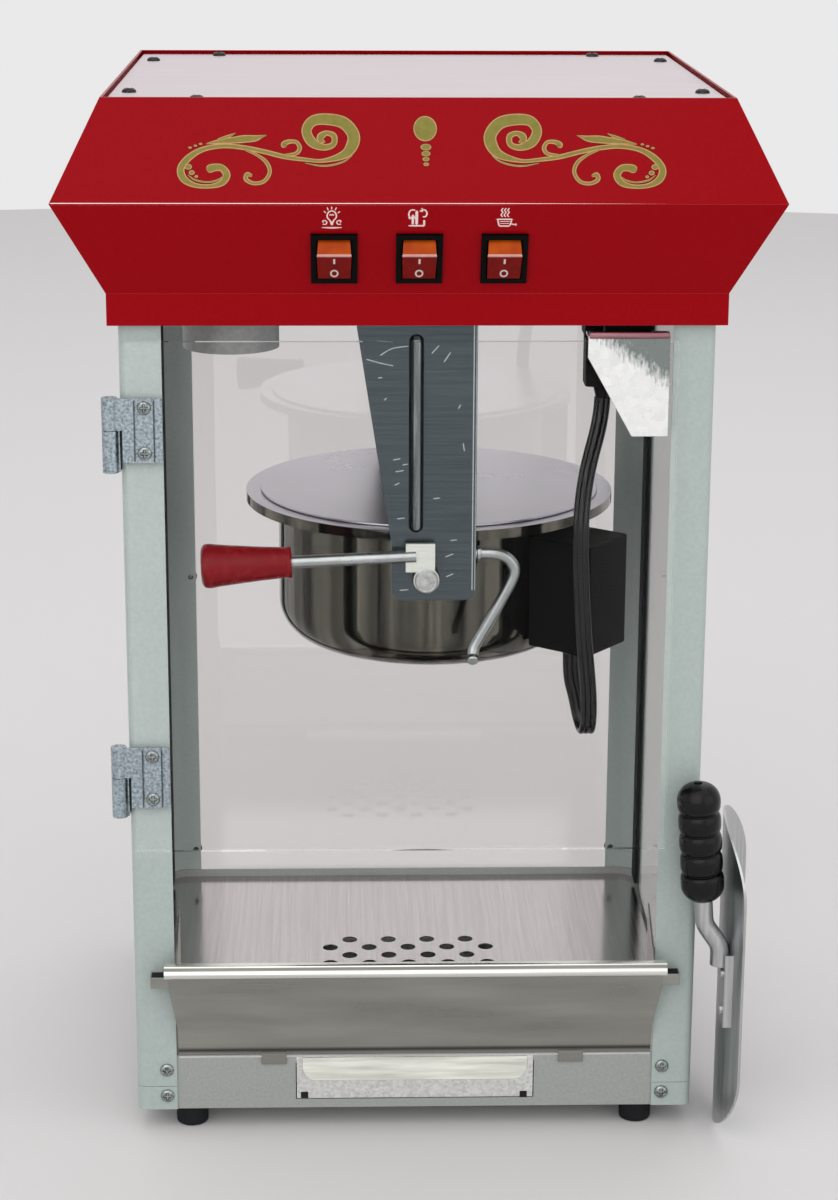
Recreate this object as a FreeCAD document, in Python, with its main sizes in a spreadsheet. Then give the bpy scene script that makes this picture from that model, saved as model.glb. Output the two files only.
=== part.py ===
"""Countertop popcorn maker: a canopy on four posts, a glazed cabinet and a tilting kettle.

Millimetres. X to the right, Y to the back, Z up.
The origin is on the table under the middle of the canopy.
"""
import FreeCAD, Part
import math
import os
import re

import Sketcher
from FreeCAD import Placement, Rotation, Vector

DIMENSIONS = {
    # how far a cutting form runs past the face that it cuts
    "past": 1,
    # canopy
    "canopy_width": 400, "canopy_depth": 371, "skirt_bottom": 495, "skirt_height": 18,
    "lower_height": 53, "upper_height": 54.4, "lower_overhang": 27, "upper_overhang": 26.6,
    "canopy_wall": 1.4, "rim_lip": 2.4, "rim_ledge": 20, "ledge_sheet": 1.2, "top_plate_sheet": 1,
    "top_plate_gap": 1, "top_screw_side_x": 12, "top_screw_side_y": 105, "top_screw_end_x": 121.5,
    "top_screw_end_y": 14, "top_screw_head": 4.5, "top_screw_height": 2.2,
    # ceiling
    "ceiling_lift": 5, "ceiling_sheet": 1.5, "ceiling_rim": 10, "pan_gap": 0.2,
    # cabinet frame
    "cabinet_width": 335, "cabinet_depth": 306, "post_face": 24, "post_side": 30, "rear_side": 40,
    "post_sheet": 1.2, "post_corner": 5, "rear_corner": 16, "seam_height": 29.6, "seam_gap": 0.3,
    "post_screw_inset": 6, "post_screw_high": 11, "post_screw_low": 6, "screw_head": 4.2,
    "screw_head_height": 2, "screw_shank": 1.9, "screw_clearance": 0.1, "screw_length": 6,
    "foot_height": 14.5, "foot_radius": 10, "foot_inset": 32, "base_height": 35, "base_sheet": 1.2,
    "floor_drop": 5, "floor_sheet": 1, "floor_gap": 0.2, "hole_pitch": 25.8, "hole_row": 13,
    "hole_back": 35, "hole_radius": 5, "glass_thick": 3, "glass_gap": 0.2, "seal_width": 18,
    "seal_thick": 2, "back_thick": 3, "back_lap": 12, "back_screw_inset": 3.5, "back_screw_low": 15,
    "back_screw_rise": 200,
    # crumb drawer
    "drawer_width": 143, "drawer_gap": 0.5, "drawer_length": 240, "drawer_floor_rise": 6,
    "drawer_wall_height": 20, "drawer_face_height": 27, "drawer_sheet": 1, "runner_width": 10,
    "lip_width": 136, "lip_drop": 12, "lip_reach": 7, "lip_corner": 8, "seat_gap": 0.3,
    # front guard
    "guard_sheet": 1, "guard_height": 62, "guard_lean": 18, "guard_hem": 3, "guard_side_gap": 1.1,
    "guard_flare": 4, "flare_low": 20, "wing_depth": 24, "wing_height": 86, "ear_reach": 14,
    "ear_height": 7, "ear_depth": 9, "ear_rise": 48, "hook_width": 15, "hook_left": 85,
    "hook_right": 94, "hook_drop": 6,
    # door
    "door_bottom": 182.5, "door_drop": 14.5, "door_right": 146.5, "door_edge_gap": 1.5,
    "door_thick": 3.6, "door_gap": 0.4, "hinge_pin_out": 5.5, "hinge_pin_forward": 2.2,
    "hinge_knuckle": 4.6, "hinge_pin": 2, "hinge_clearance": 0.08, "hinge_leaf": 1.2,
    "hinge_leaf_width": 24, "hinge_height": 37, "hinge_drop": 24.5, "hinge_gap": 0.3,
    "hinge_low": 229, "hinge_high": 435.4, "hinge_screw_inset": 10, "hinge_screw_rise": 13,
    "post_leaf_width": 22, "post_leaf": 1.7, "handle_left": 95, "handle_right": 141,
    "handle_height": 57.4, "handle_step": 12.3, "handle_slant_x": 25.5, "handle_sheet": 1.5,
    "handle_rise": 3.5, "handle_flange": 17, "catch_width": 26, "catch_depth": 10, "catch_gap": 0.4,
    # kettle hanging
    "pivot_across": 6, "pivot_height": 341, "hanger_inset": 29, "hanger_sheet": 2,
    "hanger_left": 34, "hanger_right": 35, "hanger_waist": 14, "hanger_shoulder": 12,
    "hanger_waist_height": 360, "hanger_bottom": 327, "hanger_corner": 6, "hanger_flange": 9.5,
    "hanger_top_flange": 20, "bead_radius": 4.5, "bead_low": 372, "bead_high": 480,
    "bead_sink": 1.5, "bolt_inset": 12, "bolt_head": 6, "bolt_height": 4, "bush_radius": 8,
    "bush_collar": 10, "bush_length": 6, "bush_collar_length": 2.5, "journal_radius": 6,
    "running_gap": 0.05, "end_gap": 0.3, "boss_radius": 11, "lever_standoff": 5, "lug_sheet": 3,
    "lug_left": 12, "lug_right": 5, "lug_top": 22, "lug_low": 7.5, "lug_step": 5, "pivot_head": 7,
    "pivot_head_height": 4, "rod_radius": 3.6, "rod_rise": 14.3, "rod_droop": 2.6, "grip_start": 78,
    "grip_length": 52.5, "grip_inner_radius": 9, "grip_outer_radius": 13, "grip_bore_depth": 46,
    "grip_round": 6, "lock_setback": 5, "lock_height": 354, "lock_radius": 2.6, "lock_reach": 57.5,
    "lock_tail": 26, "lock_end_x": 36.5, "lock_end_height": 287, "lock_bend": 8, "lock_collar": 4.2,
    "lock_tip": 3.25,
    # kettle
    "kettle_across": 11.5, "kettle_rim": 365, "flange_reach": 20, "kettle_bottom": 271,
    "kettle_round": 24, "kettle_wall": 1, "flange_clear": 10, "flange_sheet": 1.2, "flange_lip": 6,
    "shell_gap": 3, "pan_floor": 295, "heater_inset": 31, "heater_radius": 6, "lid_inset": 9,
    "lid_sheet": 1.2, "lid_seat": 0.3, "bar_half_width": 11, "bar_thick": 3, "bar_inset": 6,
    "lid_axis_out": 14.5, "lid_axis_up": 4, "lid_pin": 1.5, "lid_knuckle": 2.6, "ear_inner": 30,
    "ear_thick": 6, "ear_notch": 0.4, "lid_notch": 5.7, "stirrer_shaft": 4, "stirrer_low": 299,
    "stirrer_shoulder": 465, "tang_top": 480, "tang_thick": 3, "tang_width": 8, "blade_clear": 11,
    "blade_height": 8, "blade_thick": 3, "collar_radius": 6.5, "collar_height": 4,
    "stirrer_bush_radius": 7, "stirrer_bush_below": 3, "stirrer_bush_above": 4, "fork_radius": 7,
    "shaft_radius": 6, "fork_bottom": 466, "fork_slot_top": 482, "fork_gap": 0.25, "box_angle": 38,
    "box_reach": 40, "box_half_width": 22, "box_low": 283, "box_high": 351, "box_corner": 3,
    # works in the canopy
    "gearbox_width": 70, "gearbox_depth": 60, "gearbox_height": 32, "motor_radius": 27,
    "motor_height": 34, "motor_foot": 12, "motor_foot_sheet": 3, "motor_screw_radius": 4,
    "block_length": 50, "block_depth": 20, "block_height": 18, "block_across": 90, "block_back": 60,
    "gland_nut": 8, "gland_length": 9, "gland_thread": 5.5, "gland_bore": 3.5, "gland_inner": 2,
    # lamp
    "lamp_across": 107, "lamp_inset": 65, "shade_radius": 28, "shade_bottom": 470.7,
    "shade_wall": 1, "socket_radius": 14, "socket_height": 13, "socket_gap": 0.3,
    "bulb_radius": 8.5, "bulb_neck": 5,
    # kettle outlet and cord
    "outlet_across": 110, "outlet_inset": 61, "outlet_width": 24, "outlet_height": 22,
    "plug_width": 22, "plug_height": 29, "relief_length": 8, "relief_radius": 6, "cord_radius": 4,
    "cord_entry_inset": 15.2, "cord_entry_side": 16.3,
    # switches
    "switch_pitch": 46.6, "switch_drop": 35, "bezel_width": 25.6, "bezel_length": 32,
    "bezel_height": 2.3, "switch_body_width": 22.4, "switch_body_length": 28, "switch_depth": 20,
    "well_width": 19.4, "well_length": 26, "well_depth": 10, "rocker_width": 18.6,
    "rocker_length": 23, "rocker_top": 5, "rocker_low": 6, "rocker_pivot": 2, "rocker_tilt": 12,
    "rocker_pin": 1.5, "rocker_pin_reach": 1, "switch_hole_gap": 0.15,
    # scoop
    "scoop_across": 183.5, "scoop_behind": 15, "scoop_arc": 80, "scoop_half_angle": 35,
    "scoop_sheet": 1.2, "scoop_width": 90, "scoop_length": 200, "scoop_turn": 8,
    "shank_radius": 5.5, "bracket_thick": 3, "bracket_width": 14, "bracket_low": 76,
    "bracket_high": 122, "rivet_radius": 3.4, "rivet_height": 1.6, "rivet_low": 85,
    "rivet_high": 108, "shank_lap": 8, "shank_depth": 50, "grip_top_x": 163.5, "grip_top_z": 228,
    "grip_low_x": 169, "grip_low_z": 154, "scoop_grip_radius": 15.5, "scoop_grip_length": 74.2,
    "scoop_grip_ribs": 5, "groove_depth": 2, "scoop_bend": 14,
}

doc = FreeCAD.newDocument("popcorn_maker")
sheet = doc.addObject("Spreadsheet::Sheet", "dim")
for row, (alias, number) in enumerate(DIMENSIONS.items(), start=1):
    sheet.set(f"A{row}", alias)
    sheet.set(f"B{row}", str(number))
    sheet.setAlias(f"B{row}", alias)
doc.recompute()

nodes = {}


def link(text):
    """Return an expression with each dimension's name pointing at its cell."""
    return re.sub(r"[a-z]\w*", lambda m: "dim." + m[0] if m[0] in DIMENSIONS else m[0], str(text))


def size(alias):
    """Return the number in a cell."""
    return float(sheet.get(alias))


def place(obj, x=0, y=0, z=0, axis=(0, 0, 1), angle=0):
    """Bind an object's position, and its turn about one axis."""
    obj.Placement = Placement(Vector(), Rotation(Vector(*axis), 1))
    for letter, text in zip("xyz", (x, y, z)):
        obj.setExpression("Placement.Base." + letter, link(text))
    obj.setExpression("Placement.Rotation.Angle", link(angle))
    return obj


def add(kind, name, **sizes):
    """Add a primitive and bind its sizes."""
    obj = doc.addObject(kind, name)
    for prop, text in sizes.items():
        obj.setExpression(prop, link(text))
    return obj


def block(name, x, y, z):
    """A box between two expressions on each axis."""
    spans = [f"({high}) - ({low})" for low, high in (x, y, z)]
    obj = add("Part::Box", name, Length=spans[0], Width=spans[1], Height=spans[2])
    return place(obj, x[0], y[0], z[0])


TURNS = {"x": ((0, 1, 0), 90), "y": ((1, 0, 0), -90), "z": ((0, 0, 1), 0)}


def rod(name, radius, length, x, y, z, along="z"):
    """A cylinder that starts at a point and runs along +X, +Y or +Z."""
    axis, angle = TURNS[along]
    return place(add("Part::Cylinder", name, Radius=radius, Height=length), x, y, z, axis, angle)


def ball(name, radius, x, y, z):
    return place(add("Part::Sphere", name, Radius=radius), x, y, z)


def fuse(name, *pieces):
    obj = doc.addObject("Part::MultiFuse", name)
    obj.Shapes = list(pieces)
    obj.Refine = True
    return obj


def cut(name, base, *tools):
    obj = doc.addObject("Part::Cut", name)
    obj.Base = base
    obj.Tool = tools[0] if len(tools) == 1 else fuse(name + "_tools", *tools)
    return obj


def common(name, first, second):
    obj = doc.addObject("Part::Common", name)
    obj.Base = first
    obj.Tool = second
    return obj


def group(name, pieces):
    obj = doc.addObject("Part::Compound", name)
    obj.Links = list(pieces)
    return obj


def rounded(name, base, radius, pick):
    """Round the edges of an object that pick(edge) chooses."""
    doc.recompute()
    obj = doc.addObject("Part::Fillet", name)
    obj.Base = base
    obj.Edges = [(i, radius, radius) for i, e in enumerate(base.Shape.Edges, start=1) if pick(e)]
    return obj


def upright(edge):
    """True for a straight edge along Z."""
    ends = [v.Point for v in edge.Vertexes]
    return len(ends) == 2 and (ends[1] - ends[0]).cross(Vector(0, 0, 1)).Length < 0.001


def origin_plane(body, role):
    return [f for f in body.Origin.OriginFeatures if f.Role == role][0]


def outline(body, name, plane, points):
    """A closed polygon on one of the body's planes, each corner bound to the sheet."""
    sketch = body.newObject("Sketcher::SketchObject", name)
    sketch.AttachmentSupport = [(origin_plane(body, plane), "")]
    sketch.MapMode = "FlatFace"
    count = len(points)
    spots = [Vector(math.cos(2 * math.pi * i / count), math.sin(2 * math.pi * i / count), 0)
             for i in range(count)]
    for i in range(count):
        sketch.addGeometry(Part.LineSegment(spots[i], spots[(i + 1) % count]))
    for i in range(count):
        sketch.addConstraint(Sketcher.Constraint("Coincident", i, 2, (i + 1) % count, 1))
    for i, corner in enumerate(points):
        for kind, text in zip(("DistanceX", "DistanceY"), corner):
            index = sketch.addConstraint(Sketcher.Constraint(kind, -1, 1, i, 1, 1.0))
            sketch.setExpression(f"Constraints[{index}]", link(text))
    return sketch


def plate(name, plane, points, thick, x=0, y=0, z=0):
    """A flat or bent sheet: its outline padded to its thickness or width."""
    body = doc.addObject("PartDesign::Body", name)
    pad = body.newObject("PartDesign::Pad", name + "_pad")
    pad.Profile = outline(body, name + "_outline", plane, points)
    pad.setExpression("Length", link(thick))
    return place(body, x, y, z)


def turned(name, points):
    """A turned piece about Z: its half profile as radius and height."""
    body = doc.addObject("PartDesign::Body", name)
    sketch = outline(body, name + "_profile", "XZ_Plane", points)
    spin = body.newObject("PartDesign::Revolution", name + "_turn")
    spin.Profile = sketch
    spin.ReferenceAxis = (sketch, ["V_Axis"])
    spin.Angle = 360
    return body


def bent_rod(name, points, radius, bends):
    """A round rod along straight runs joined by tangent arcs, one bend radius for each inner point."""
    edges, start = [], points[0]
    for before, corner, after, bend in zip(points, points[1:], points[2:], bends):
        u, v = (before - corner).normalize(), (after - corner).normalize()
        half = u.getAngle(v) / 2
        reach = bend / math.tan(half)
        middle = corner + (u + v).normalize() * (bend / math.sin(half) - bend)
        edges.append(Part.LineSegment(start, corner + u * reach).toShape())
        edges.append(Part.Arc(corner + u * reach, middle, corner + v * reach).toShape())
        start = corner + v * reach
    edges.append(Part.LineSegment(start, points[-1]).toShape())
    path = Part.Wire(edges)
    circle = Part.Circle(points[0], points[1] - points[0], radius).toShape()
    tube = path.makePipeShell([Part.Wire([circle])], True, True)
    obj = doc.addObject("Part::Feature", name)
    obj.Shape = tube
    print(name, "length", round(path.Length, 1), "volume ratio",
          round(tube.Volume / (math.pi * radius ** 2 * path.Length), 4),
          "bends", [round(b, 1) for b in bends])
    return obj


def node(name, obj):
    """Keep an object as a sub-part under its own name."""
    obj.Label = name
    nodes[name] = obj
    return obj


# Levels and faces that several pieces share
HALF_W = "(cabinet_width / 2)"
FRONT = "(-cabinet_depth / 2)"
REAR = "(cabinet_depth / 2)"
SKIRT_X = "(canopy_width / 2 - lower_overhang)"
SKIRT_Y = "(canopy_depth / 2 - lower_overhang)"
SKIRT_TOP = "(skirt_bottom + skirt_height)"
CREASE = "(skirt_bottom + skirt_height + lower_height)"
TOP = "(skirt_bottom + skirt_height + lower_height + upper_height)"
TOP_X = "(canopy_width / 2 - upper_overhang)"
TOP_Y = "(canopy_depth / 2 - upper_overhang)"
CEILING = "(skirt_bottom + ceiling_lift)"
BASE_TOP = "(foot_height + base_height)"
FLOOR = "(foot_height + base_height - floor_drop)"
INNER_X = "(cabinet_width / 2 - post_sheet)"
INNER_Y = "(cabinet_depth / 2 - post_sheet)"
DOOR_BACK = "(-cabinet_depth / 2 - door_gap)"
HANGER = "(cabinet_depth / 2 - hanger_inset)"
FLANGE_R = f"({HANGER} - flange_clear)"
KETTLE_R = f"({FLANGE_R} - flange_reach)"
PAN_R = f"({KETTLE_R} - shell_gap)"
DOOR_FACE = "(-cabinet_depth / 2 - door_gap - door_thick)"
SCREW_HOLE = "screw_shank + screw_clearance"


# Canopy: one folded and painted sheet, with a ledge inside the rim for the top plate
def frustum(name, low, high, levels):
    """A four-sided tapered block: half width and half depth at two levels."""
    obj = add("Part::Wedge", name, Xmin=f"-({low[0]})", Xmax=low[0], Zmin=f"-({low[1]})", Zmax=low[1],
              X2min=f"-({high[0]})", X2max=high[0], Z2min=f"-({high[1]})", Z2max=high[1],
              Ymin=levels[0], Ymax=levels[1])
    return place(obj, axis=(1, 0, 0), angle=90)


def canopy_form(name, inset, bottom, top):
    """The canopy's outer form, or the same form set in by its wall."""
    skirt = (f"{SKIRT_X} - {inset}", f"{SKIRT_Y} - {inset}")
    crease = (f"canopy_width / 2 - {inset}", f"canopy_depth / 2 - {inset}")
    rim = (f"{TOP_X} - {inset}", f"{TOP_Y} - {inset}")
    return fuse(name, frustum(name + "_skirt", skirt, skirt, (bottom, SKIRT_TOP)),
                frustum(name + "_lower", skirt, crease, (SKIRT_TOP, CREASE)),
                frustum(name + "_upper", crease, rim, (CREASE, top)))


LEDGE = f"({TOP} - rim_lip - top_plate_sheet - ledge_sheet)"
SLOPE = "atan(lower_overhang / lower_height)"
SLOPE_LENGTH = "sqrt(lower_overhang ^ 2 + lower_height ^ 2)"
SWITCH_Y = f"(-canopy_depth / 2 + lower_overhang * switch_drop / {SLOPE_LENGTH})"
SWITCH_Z = f"({CREASE} - lower_height * switch_drop / {SLOPE_LENGTH})"


def on_panel(obj, step):
    """Set a switch piece on the lower front panel: local Z points out of the panel, local Y up it."""
    return place(obj, f"{step} * switch_pitch", SWITCH_Y, SWITCH_Z, (1, 0, 0), f"90 deg + {SLOPE}")


def centred(name, x, y, low, high):
    """A block centred on Z, with a full width and length."""
    return block(name, (f"-({x}) / 2", f"({x}) / 2"), (f"-({y}) / 2", f"({y}) / 2"), (low, high))


canopy_solid = canopy_form("canopy_outside", 0, "skirt_bottom", TOP)
canopy_hollow = canopy_form("canopy_inside", "canopy_wall", "skirt_bottom", TOP)
ledge_slab = block("ledge_slab", ("-canopy_width", "canopy_width"), ("-canopy_depth", "canopy_depth"),
                   (LEDGE, f"{LEDGE} + ledge_sheet"))
ledge_hole = block("ledge_hole", (f"-{TOP_X} + rim_ledge", f"{TOP_X} - rim_ledge"),
                   (f"-{TOP_Y} + rim_ledge", f"{TOP_Y} - rim_ledge"),
                   (f"{LEDGE} - past", f"{TOP} + past"))
ledge = cut("ledge", common("ledge_sheet_form", ledge_slab, canopy_solid), ledge_hole)
switch_holes = []
for step in (-1, 0, 1):
    tool = centred(f"switch_hole_{step + 1}", "switch_body_width + 2 * switch_hole_gap",
                   "switch_body_length + 2 * switch_hole_gap", "-switch_depth", "bezel_height")
    switch_holes.append(on_panel(group(f"switch_hole_set_{step + 1}", [tool]), step))
GLAND_Z = f"({SKIRT_TOP} - skirt_height / 2)"
gland_hole = rod("gland_hole", "gland_thread + screw_clearance", "canopy_wall * 6", 0,
                 f"{SKIRT_Y} - canopy_wall * 3", GLAND_Z, "y")
walls = cut("canopy_walls", canopy_solid, canopy_hollow, *switch_holes, gland_hole)
canopy_folded = fuse("canopy_folded", walls, ledge)

# Top plate and its eight screws
PLATE_LOW = f"({LEDGE} + ledge_sheet)"
PLATE_HIGH = f"({LEDGE} + ledge_sheet + top_plate_sheet)"
PLATE_X = f"({TOP_X} - canopy_wall - top_plate_gap)"
PLATE_Y = f"({TOP_Y} - canopy_wall - top_plate_gap)"
top_screws, top_holes = [], []
top_spots = [(f"{a} * ({TOP_X} - top_screw_side_x)", f"{b} * top_screw_side_y") for a in (-1, 1)
             for b in (-1, 1)]
top_spots += [(f"{a} * top_screw_end_x", f"{b} * ({TOP_Y} - top_screw_end_y)") for a in (-1, 1)
              for b in (-1, 1)]
for i, (x, y) in enumerate(top_spots):
    head = rod(f"top_screw_head_{i}", "top_screw_head", "top_screw_height", x, y, PLATE_HIGH)
    shank = rod(f"top_screw_shank_{i}", "screw_shank", "screw_length", x, y,
                f"{PLATE_HIGH} - screw_length")
    top_screws.append(fuse(f"top_screw_{i}", head, shank))
    top_holes.append(rod(f"top_hole_{i}", SCREW_HOLE, "screw_length * 2", x, y,
                         f"{PLATE_HIGH} - screw_length"))
plate_sheet = block("top_sheet", (f"-{PLATE_X}", PLATE_X), (f"-{PLATE_Y}", PLATE_Y),
                    (PLATE_LOW, PLATE_HIGH))
top_hole_set = group("top_hole_set", top_holes)
node("canopy_top_plate", cut("canopy_top_plate", plate_sheet, top_hole_set))
node("canopy_top_screws", group("canopy_top_screws", top_screws))
node("canopy_shell", cut("canopy_shell", canopy_folded, top_hole_set))

# Ceiling pan: a tray turned up inside the skirt, which stands on the posts and carries the works
PAN_X = f"({SKIRT_X} - canopy_wall - pan_gap)"
PAN_Y = f"({SKIRT_Y} - canopy_wall - pan_gap)"
CEILING_TOP = f"({CEILING} + ceiling_sheet)"
pan_outside = block("pan_outside", (f"-{PAN_X}", PAN_X), (f"-{PAN_Y}", PAN_Y),
                    (CEILING, f"{CEILING_TOP} + ceiling_rim"))
pan_inside = block("pan_inside", (f"-{PAN_X} + ceiling_sheet", f"{PAN_X} - ceiling_sheet"),
                   (f"-{PAN_Y} + ceiling_sheet", f"{PAN_Y} - ceiling_sheet"),
                   (CEILING_TOP, f"{CEILING_TOP} + ceiling_rim + past"))
shaft_hole = rod("shaft_hole", "fork_radius + past", "ceiling_sheet * 3", "kettle_across", 0,
                 f"{CEILING} - ceiling_sheet")
gland_pass = rod("gland_pass", "gland_thread + past", "ceiling_sheet * 6", 0,
                 f"{PAN_Y} - ceiling_sheet * 3", GLAND_Z, "y")
node("ceiling_pan", cut("ceiling_pan", pan_outside, pan_inside, shaft_hole, gland_pass))

# Cable gland at the back of the skirt, and the terminal block that it leads to
gland_body = rod("gland_body", "gland_thread", "gland_length + canopy_wall + gland_inner", 0,
                 f"{SKIRT_Y} - canopy_wall - gland_inner", GLAND_Z, "y")
gland_nut = rod("gland_nut", "gland_nut", "gland_length", 0, SKIRT_Y, GLAND_Z, "y")
gland_bore = rod("gland_bore", "gland_bore", "gland_length * 4", 0, f"{SKIRT_Y} - gland_length * 2",
                 GLAND_Z, "y")
node("cable_gland", cut("cable_gland", fuse("gland_form", gland_body, gland_nut), gland_bore))
node("terminal_block",
     block("terminal_block", ("block_across - block_length / 2", "block_across + block_length / 2"),
           ("block_back - block_depth / 2", "block_back + block_depth / 2"),
           (CEILING_TOP, f"{CEILING_TOP} + block_height")))

# Rocker switches: a housing with its bezel in each hole, and a rocker on two small pins
housings = []
rocker_names = ("rocker_light", "rocker_stirrer", "rocker_heater")
for step, rocker_name in zip((-1, 0, 1), rocker_names):
    bezel = centred(f"bezel_{step + 1}", "bezel_width", "bezel_length", 0, "bezel_height")
    body = centred(f"switch_body_{step + 1}", "switch_body_width", "switch_body_length",
                   "-switch_depth", 0)
    well = centred(f"well_{step + 1}", "well_width", "well_length", "-well_depth",
                   "bezel_height + past")
    sockets = rod(f"pin_sockets_{step + 1}", "rocker_pin + running_gap",
                  "well_width + 2 * rocker_pin_reach", "-well_width / 2 - rocker_pin_reach", 0,
                  "-rocker_pivot", "x")
    housing = cut(f"switch_housing_{step + 1}", fuse(f"housing_form_{step + 1}", bezel, body), well,
                  sockets)
    housings.append(on_panel(housing, step))
    key = centred(f"rocker_key_{step + 1}", "rocker_width", "rocker_length",
                  "-rocker_low + rocker_pivot", "rocker_top + rocker_pivot")
    pin_length = "rocker_width + 2 * rocker_pin_reach"
    pins = rod(f"rocker_pins_{step + 1}", "rocker_pin", pin_length, f"-({pin_length}) / 2", 0, 0, "x")
    tipped = place(fuse(f"rocker_tipped_{step + 1}", key, pins), 0, 0, "-rocker_pivot", (1, 0, 0),
                   "rocker_tilt")
    node(rocker_name, on_panel(group(rocker_name, [tipped]), step))
node("switch_housings", group("switch_housings", housings))

# Gear motor on the ceiling pan, and the shaft below it with a fork that takes the stirrer's tang
MOTOR_TOP = f"({CEILING_TOP} + gearbox_height)"
gearbox = block("gearbox", ("kettle_across - gearbox_width / 2", "kettle_across + gearbox_width / 2"),
                ("-gearbox_depth / 2", "gearbox_depth / 2"), (CEILING_TOP, MOTOR_TOP))
motor_can = rod("motor_can", "motor_radius", "motor_height", "kettle_across", 0, MOTOR_TOP)
FEET_X = "(gearbox_width / 2 + motor_foot)"
motor_feet = block("motor_feet", (f"kettle_across - {FEET_X}", f"kettle_across + {FEET_X}"),
                   ("-gearbox_depth / 4", "gearbox_depth / 4"),
                   (CEILING_TOP, f"{CEILING_TOP} + motor_foot_sheet"))
motor_bore = rod("motor_bore", "shaft_radius + running_gap", "gearbox_height / 2", "kettle_across", 0,
                 CEILING_TOP)
node("gear_motor", cut("gear_motor", fuse("motor_form", gearbox, motor_can, motor_feet), motor_bore))
motor_screws = [rod(f"motor_screw_{i}", "motor_screw_radius", "screw_head_height",
                    f"kettle_across + {side} * (gearbox_width / 2 + motor_foot / 2)", 0,
                    f"{CEILING_TOP} + motor_foot_sheet") for i, side in enumerate((-1, 1))]
fork = rod("fork", "fork_radius", f"{CEILING} - fork_bottom", "kettle_across", 0, "fork_bottom")
shaft_end = rod("shaft_end", "shaft_radius", "ceiling_sheet + gearbox_height / 2 - end_gap",
                "kettle_across", 0, CEILING)
fork_slot = block("fork_slot",
                  ("kettle_across - fork_radius - past", "kettle_across + fork_radius + past"),
                  ("-tang_thick / 2 - fork_gap", "tang_thick / 2 + fork_gap"),
                  ("fork_bottom - past", "fork_slot_top"))
node("drive_shaft", cut("drive_shaft", fuse("shaft_form", fork, shaft_end), fork_slot))

# Lamp: a spun cup under the ceiling, its socket and bulb
LAMP_Y = "(-cabinet_depth / 2 + lamp_inset)"
shade = turned("lamp_shade",
               [("socket_radius + socket_gap", f"{CEILING} - shade_wall"),
                ("socket_radius + socket_gap", CEILING), ("shade_radius", CEILING),
                ("shade_radius", "shade_bottom"), ("shade_radius - shade_wall", "shade_bottom"),
                ("shade_radius - shade_wall", f"{CEILING} - shade_wall")])
node("lamp_shade", place(shade, "-lamp_across", LAMP_Y))
node("lamp_socket",
     rod("lamp_socket", "socket_radius", "socket_height", "-lamp_across", LAMP_Y,
         f"{CEILING} - socket_height"))
BULB_Z = f"({CEILING} - socket_height - bulb_radius)"
bulb_neck = rod("bulb_neck", "bulb_neck", "bulb_radius", "-lamp_across", LAMP_Y, BULB_Z)
globe = ball("bulb_globe", "bulb_radius", "-lamp_across", LAMP_Y, BULB_Z)
node("lamp_bulb", fuse("lamp_bulb", bulb_neck, globe))


# Hangers: two plates from the ceiling that carry the kettle's studs
def hanger(name, face, side):
    """A hanger with its inner face at side * HANGER: side is -1 in front, 1 at the back."""
    inner = f"({side} * {HANGER})"
    outer = f"({side} * ({HANGER} + hanger_sheet))"
    low, high = (outer, inner) if side < 0 else (inner, outer)
    sheet_form = plate(name + "_sheet", "XZ_Plane",
                       [("-hanger_left", CEILING), ("-hanger_left", f"{CEILING} - hanger_shoulder"),
                        ("-hanger_waist", "hanger_waist_height"), ("-hanger_waist", "hanger_bottom"),
                        ("hanger_right", "hanger_bottom"), ("hanger_right", CEILING)],
                       "hanger_sheet", y=high)
    rounded_form = rounded(name + "_rounded", sheet_form, size("hanger_corner"),
                           lambda e: abs(e.BoundBox.ZMax - size("hanger_bottom")) < 0.01
                           and e.BoundBox.XLength < 0.01)
    reach = (inner, f"({inner} - {side} * hanger_top_flange)")
    flange_y = (inner, f"({inner} - {side} * hanger_flange)")
    top_flange = block(name + "_top", ("-hanger_left", "hanger_right"), reach if side < 0
                       else reach[::-1], (f"{CEILING} - hanger_sheet", CEILING))
    edge_flange = block(name + "_edge", ("hanger_right - hanger_sheet", "hanger_right"),
                        flange_y if side < 0 else flange_y[::-1],
                        ("hanger_bottom + hanger_corner", CEILING))
    bead_y = f"({outer} - {side} * bead_sink)"
    bead = fuse(name + "_bead",
                rod(name + "_bead_run", "bead_radius", "bead_high - bead_low", 0, bead_y, "bead_low"),
                ball(name + "_bead_low", "bead_radius", 0, bead_y, "bead_low"),
                ball(name + "_bead_high", "bead_radius", 0, bead_y, "bead_high"))
    behind = block(name + "_behind", ("-hanger_left", "hanger_right"),
                   reach if side < 0 else reach[::-1],
                   ("bead_low - bead_radius * 2", "bead_high + bead_radius * 2"))
    form = fuse(name + "_form", rounded_form, top_flange, edge_flange,
                cut(name + "_bead_front", bead, behind))
    bush_hole = rod(name + "_bush_hole", "bush_radius", "hanger_sheet * 3", "pivot_across",
                    f"{low} - hanger_sheet", "pivot_height", "y")
    tools = [bush_hole]
    tools += [rod(f"{name}_bolt_hole_{i}", SCREW_HOLE, "hanger_sheet * 3", x,
                  f"{side} * ({HANGER} - hanger_top_flange / 2)", f"{CEILING} - hanger_sheet * 2")
              for i, x in enumerate(HANGER_BOLTS)]
    if side < 0:
        tools.append(rod("lock_hole", "lock_radius + running_gap", "hanger_sheet * 3",
                         "hanger_right - hanger_sheet * 2", LOCK_Y, "lock_height", "x"))
    return node(face, cut(face, form, *tools))


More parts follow.
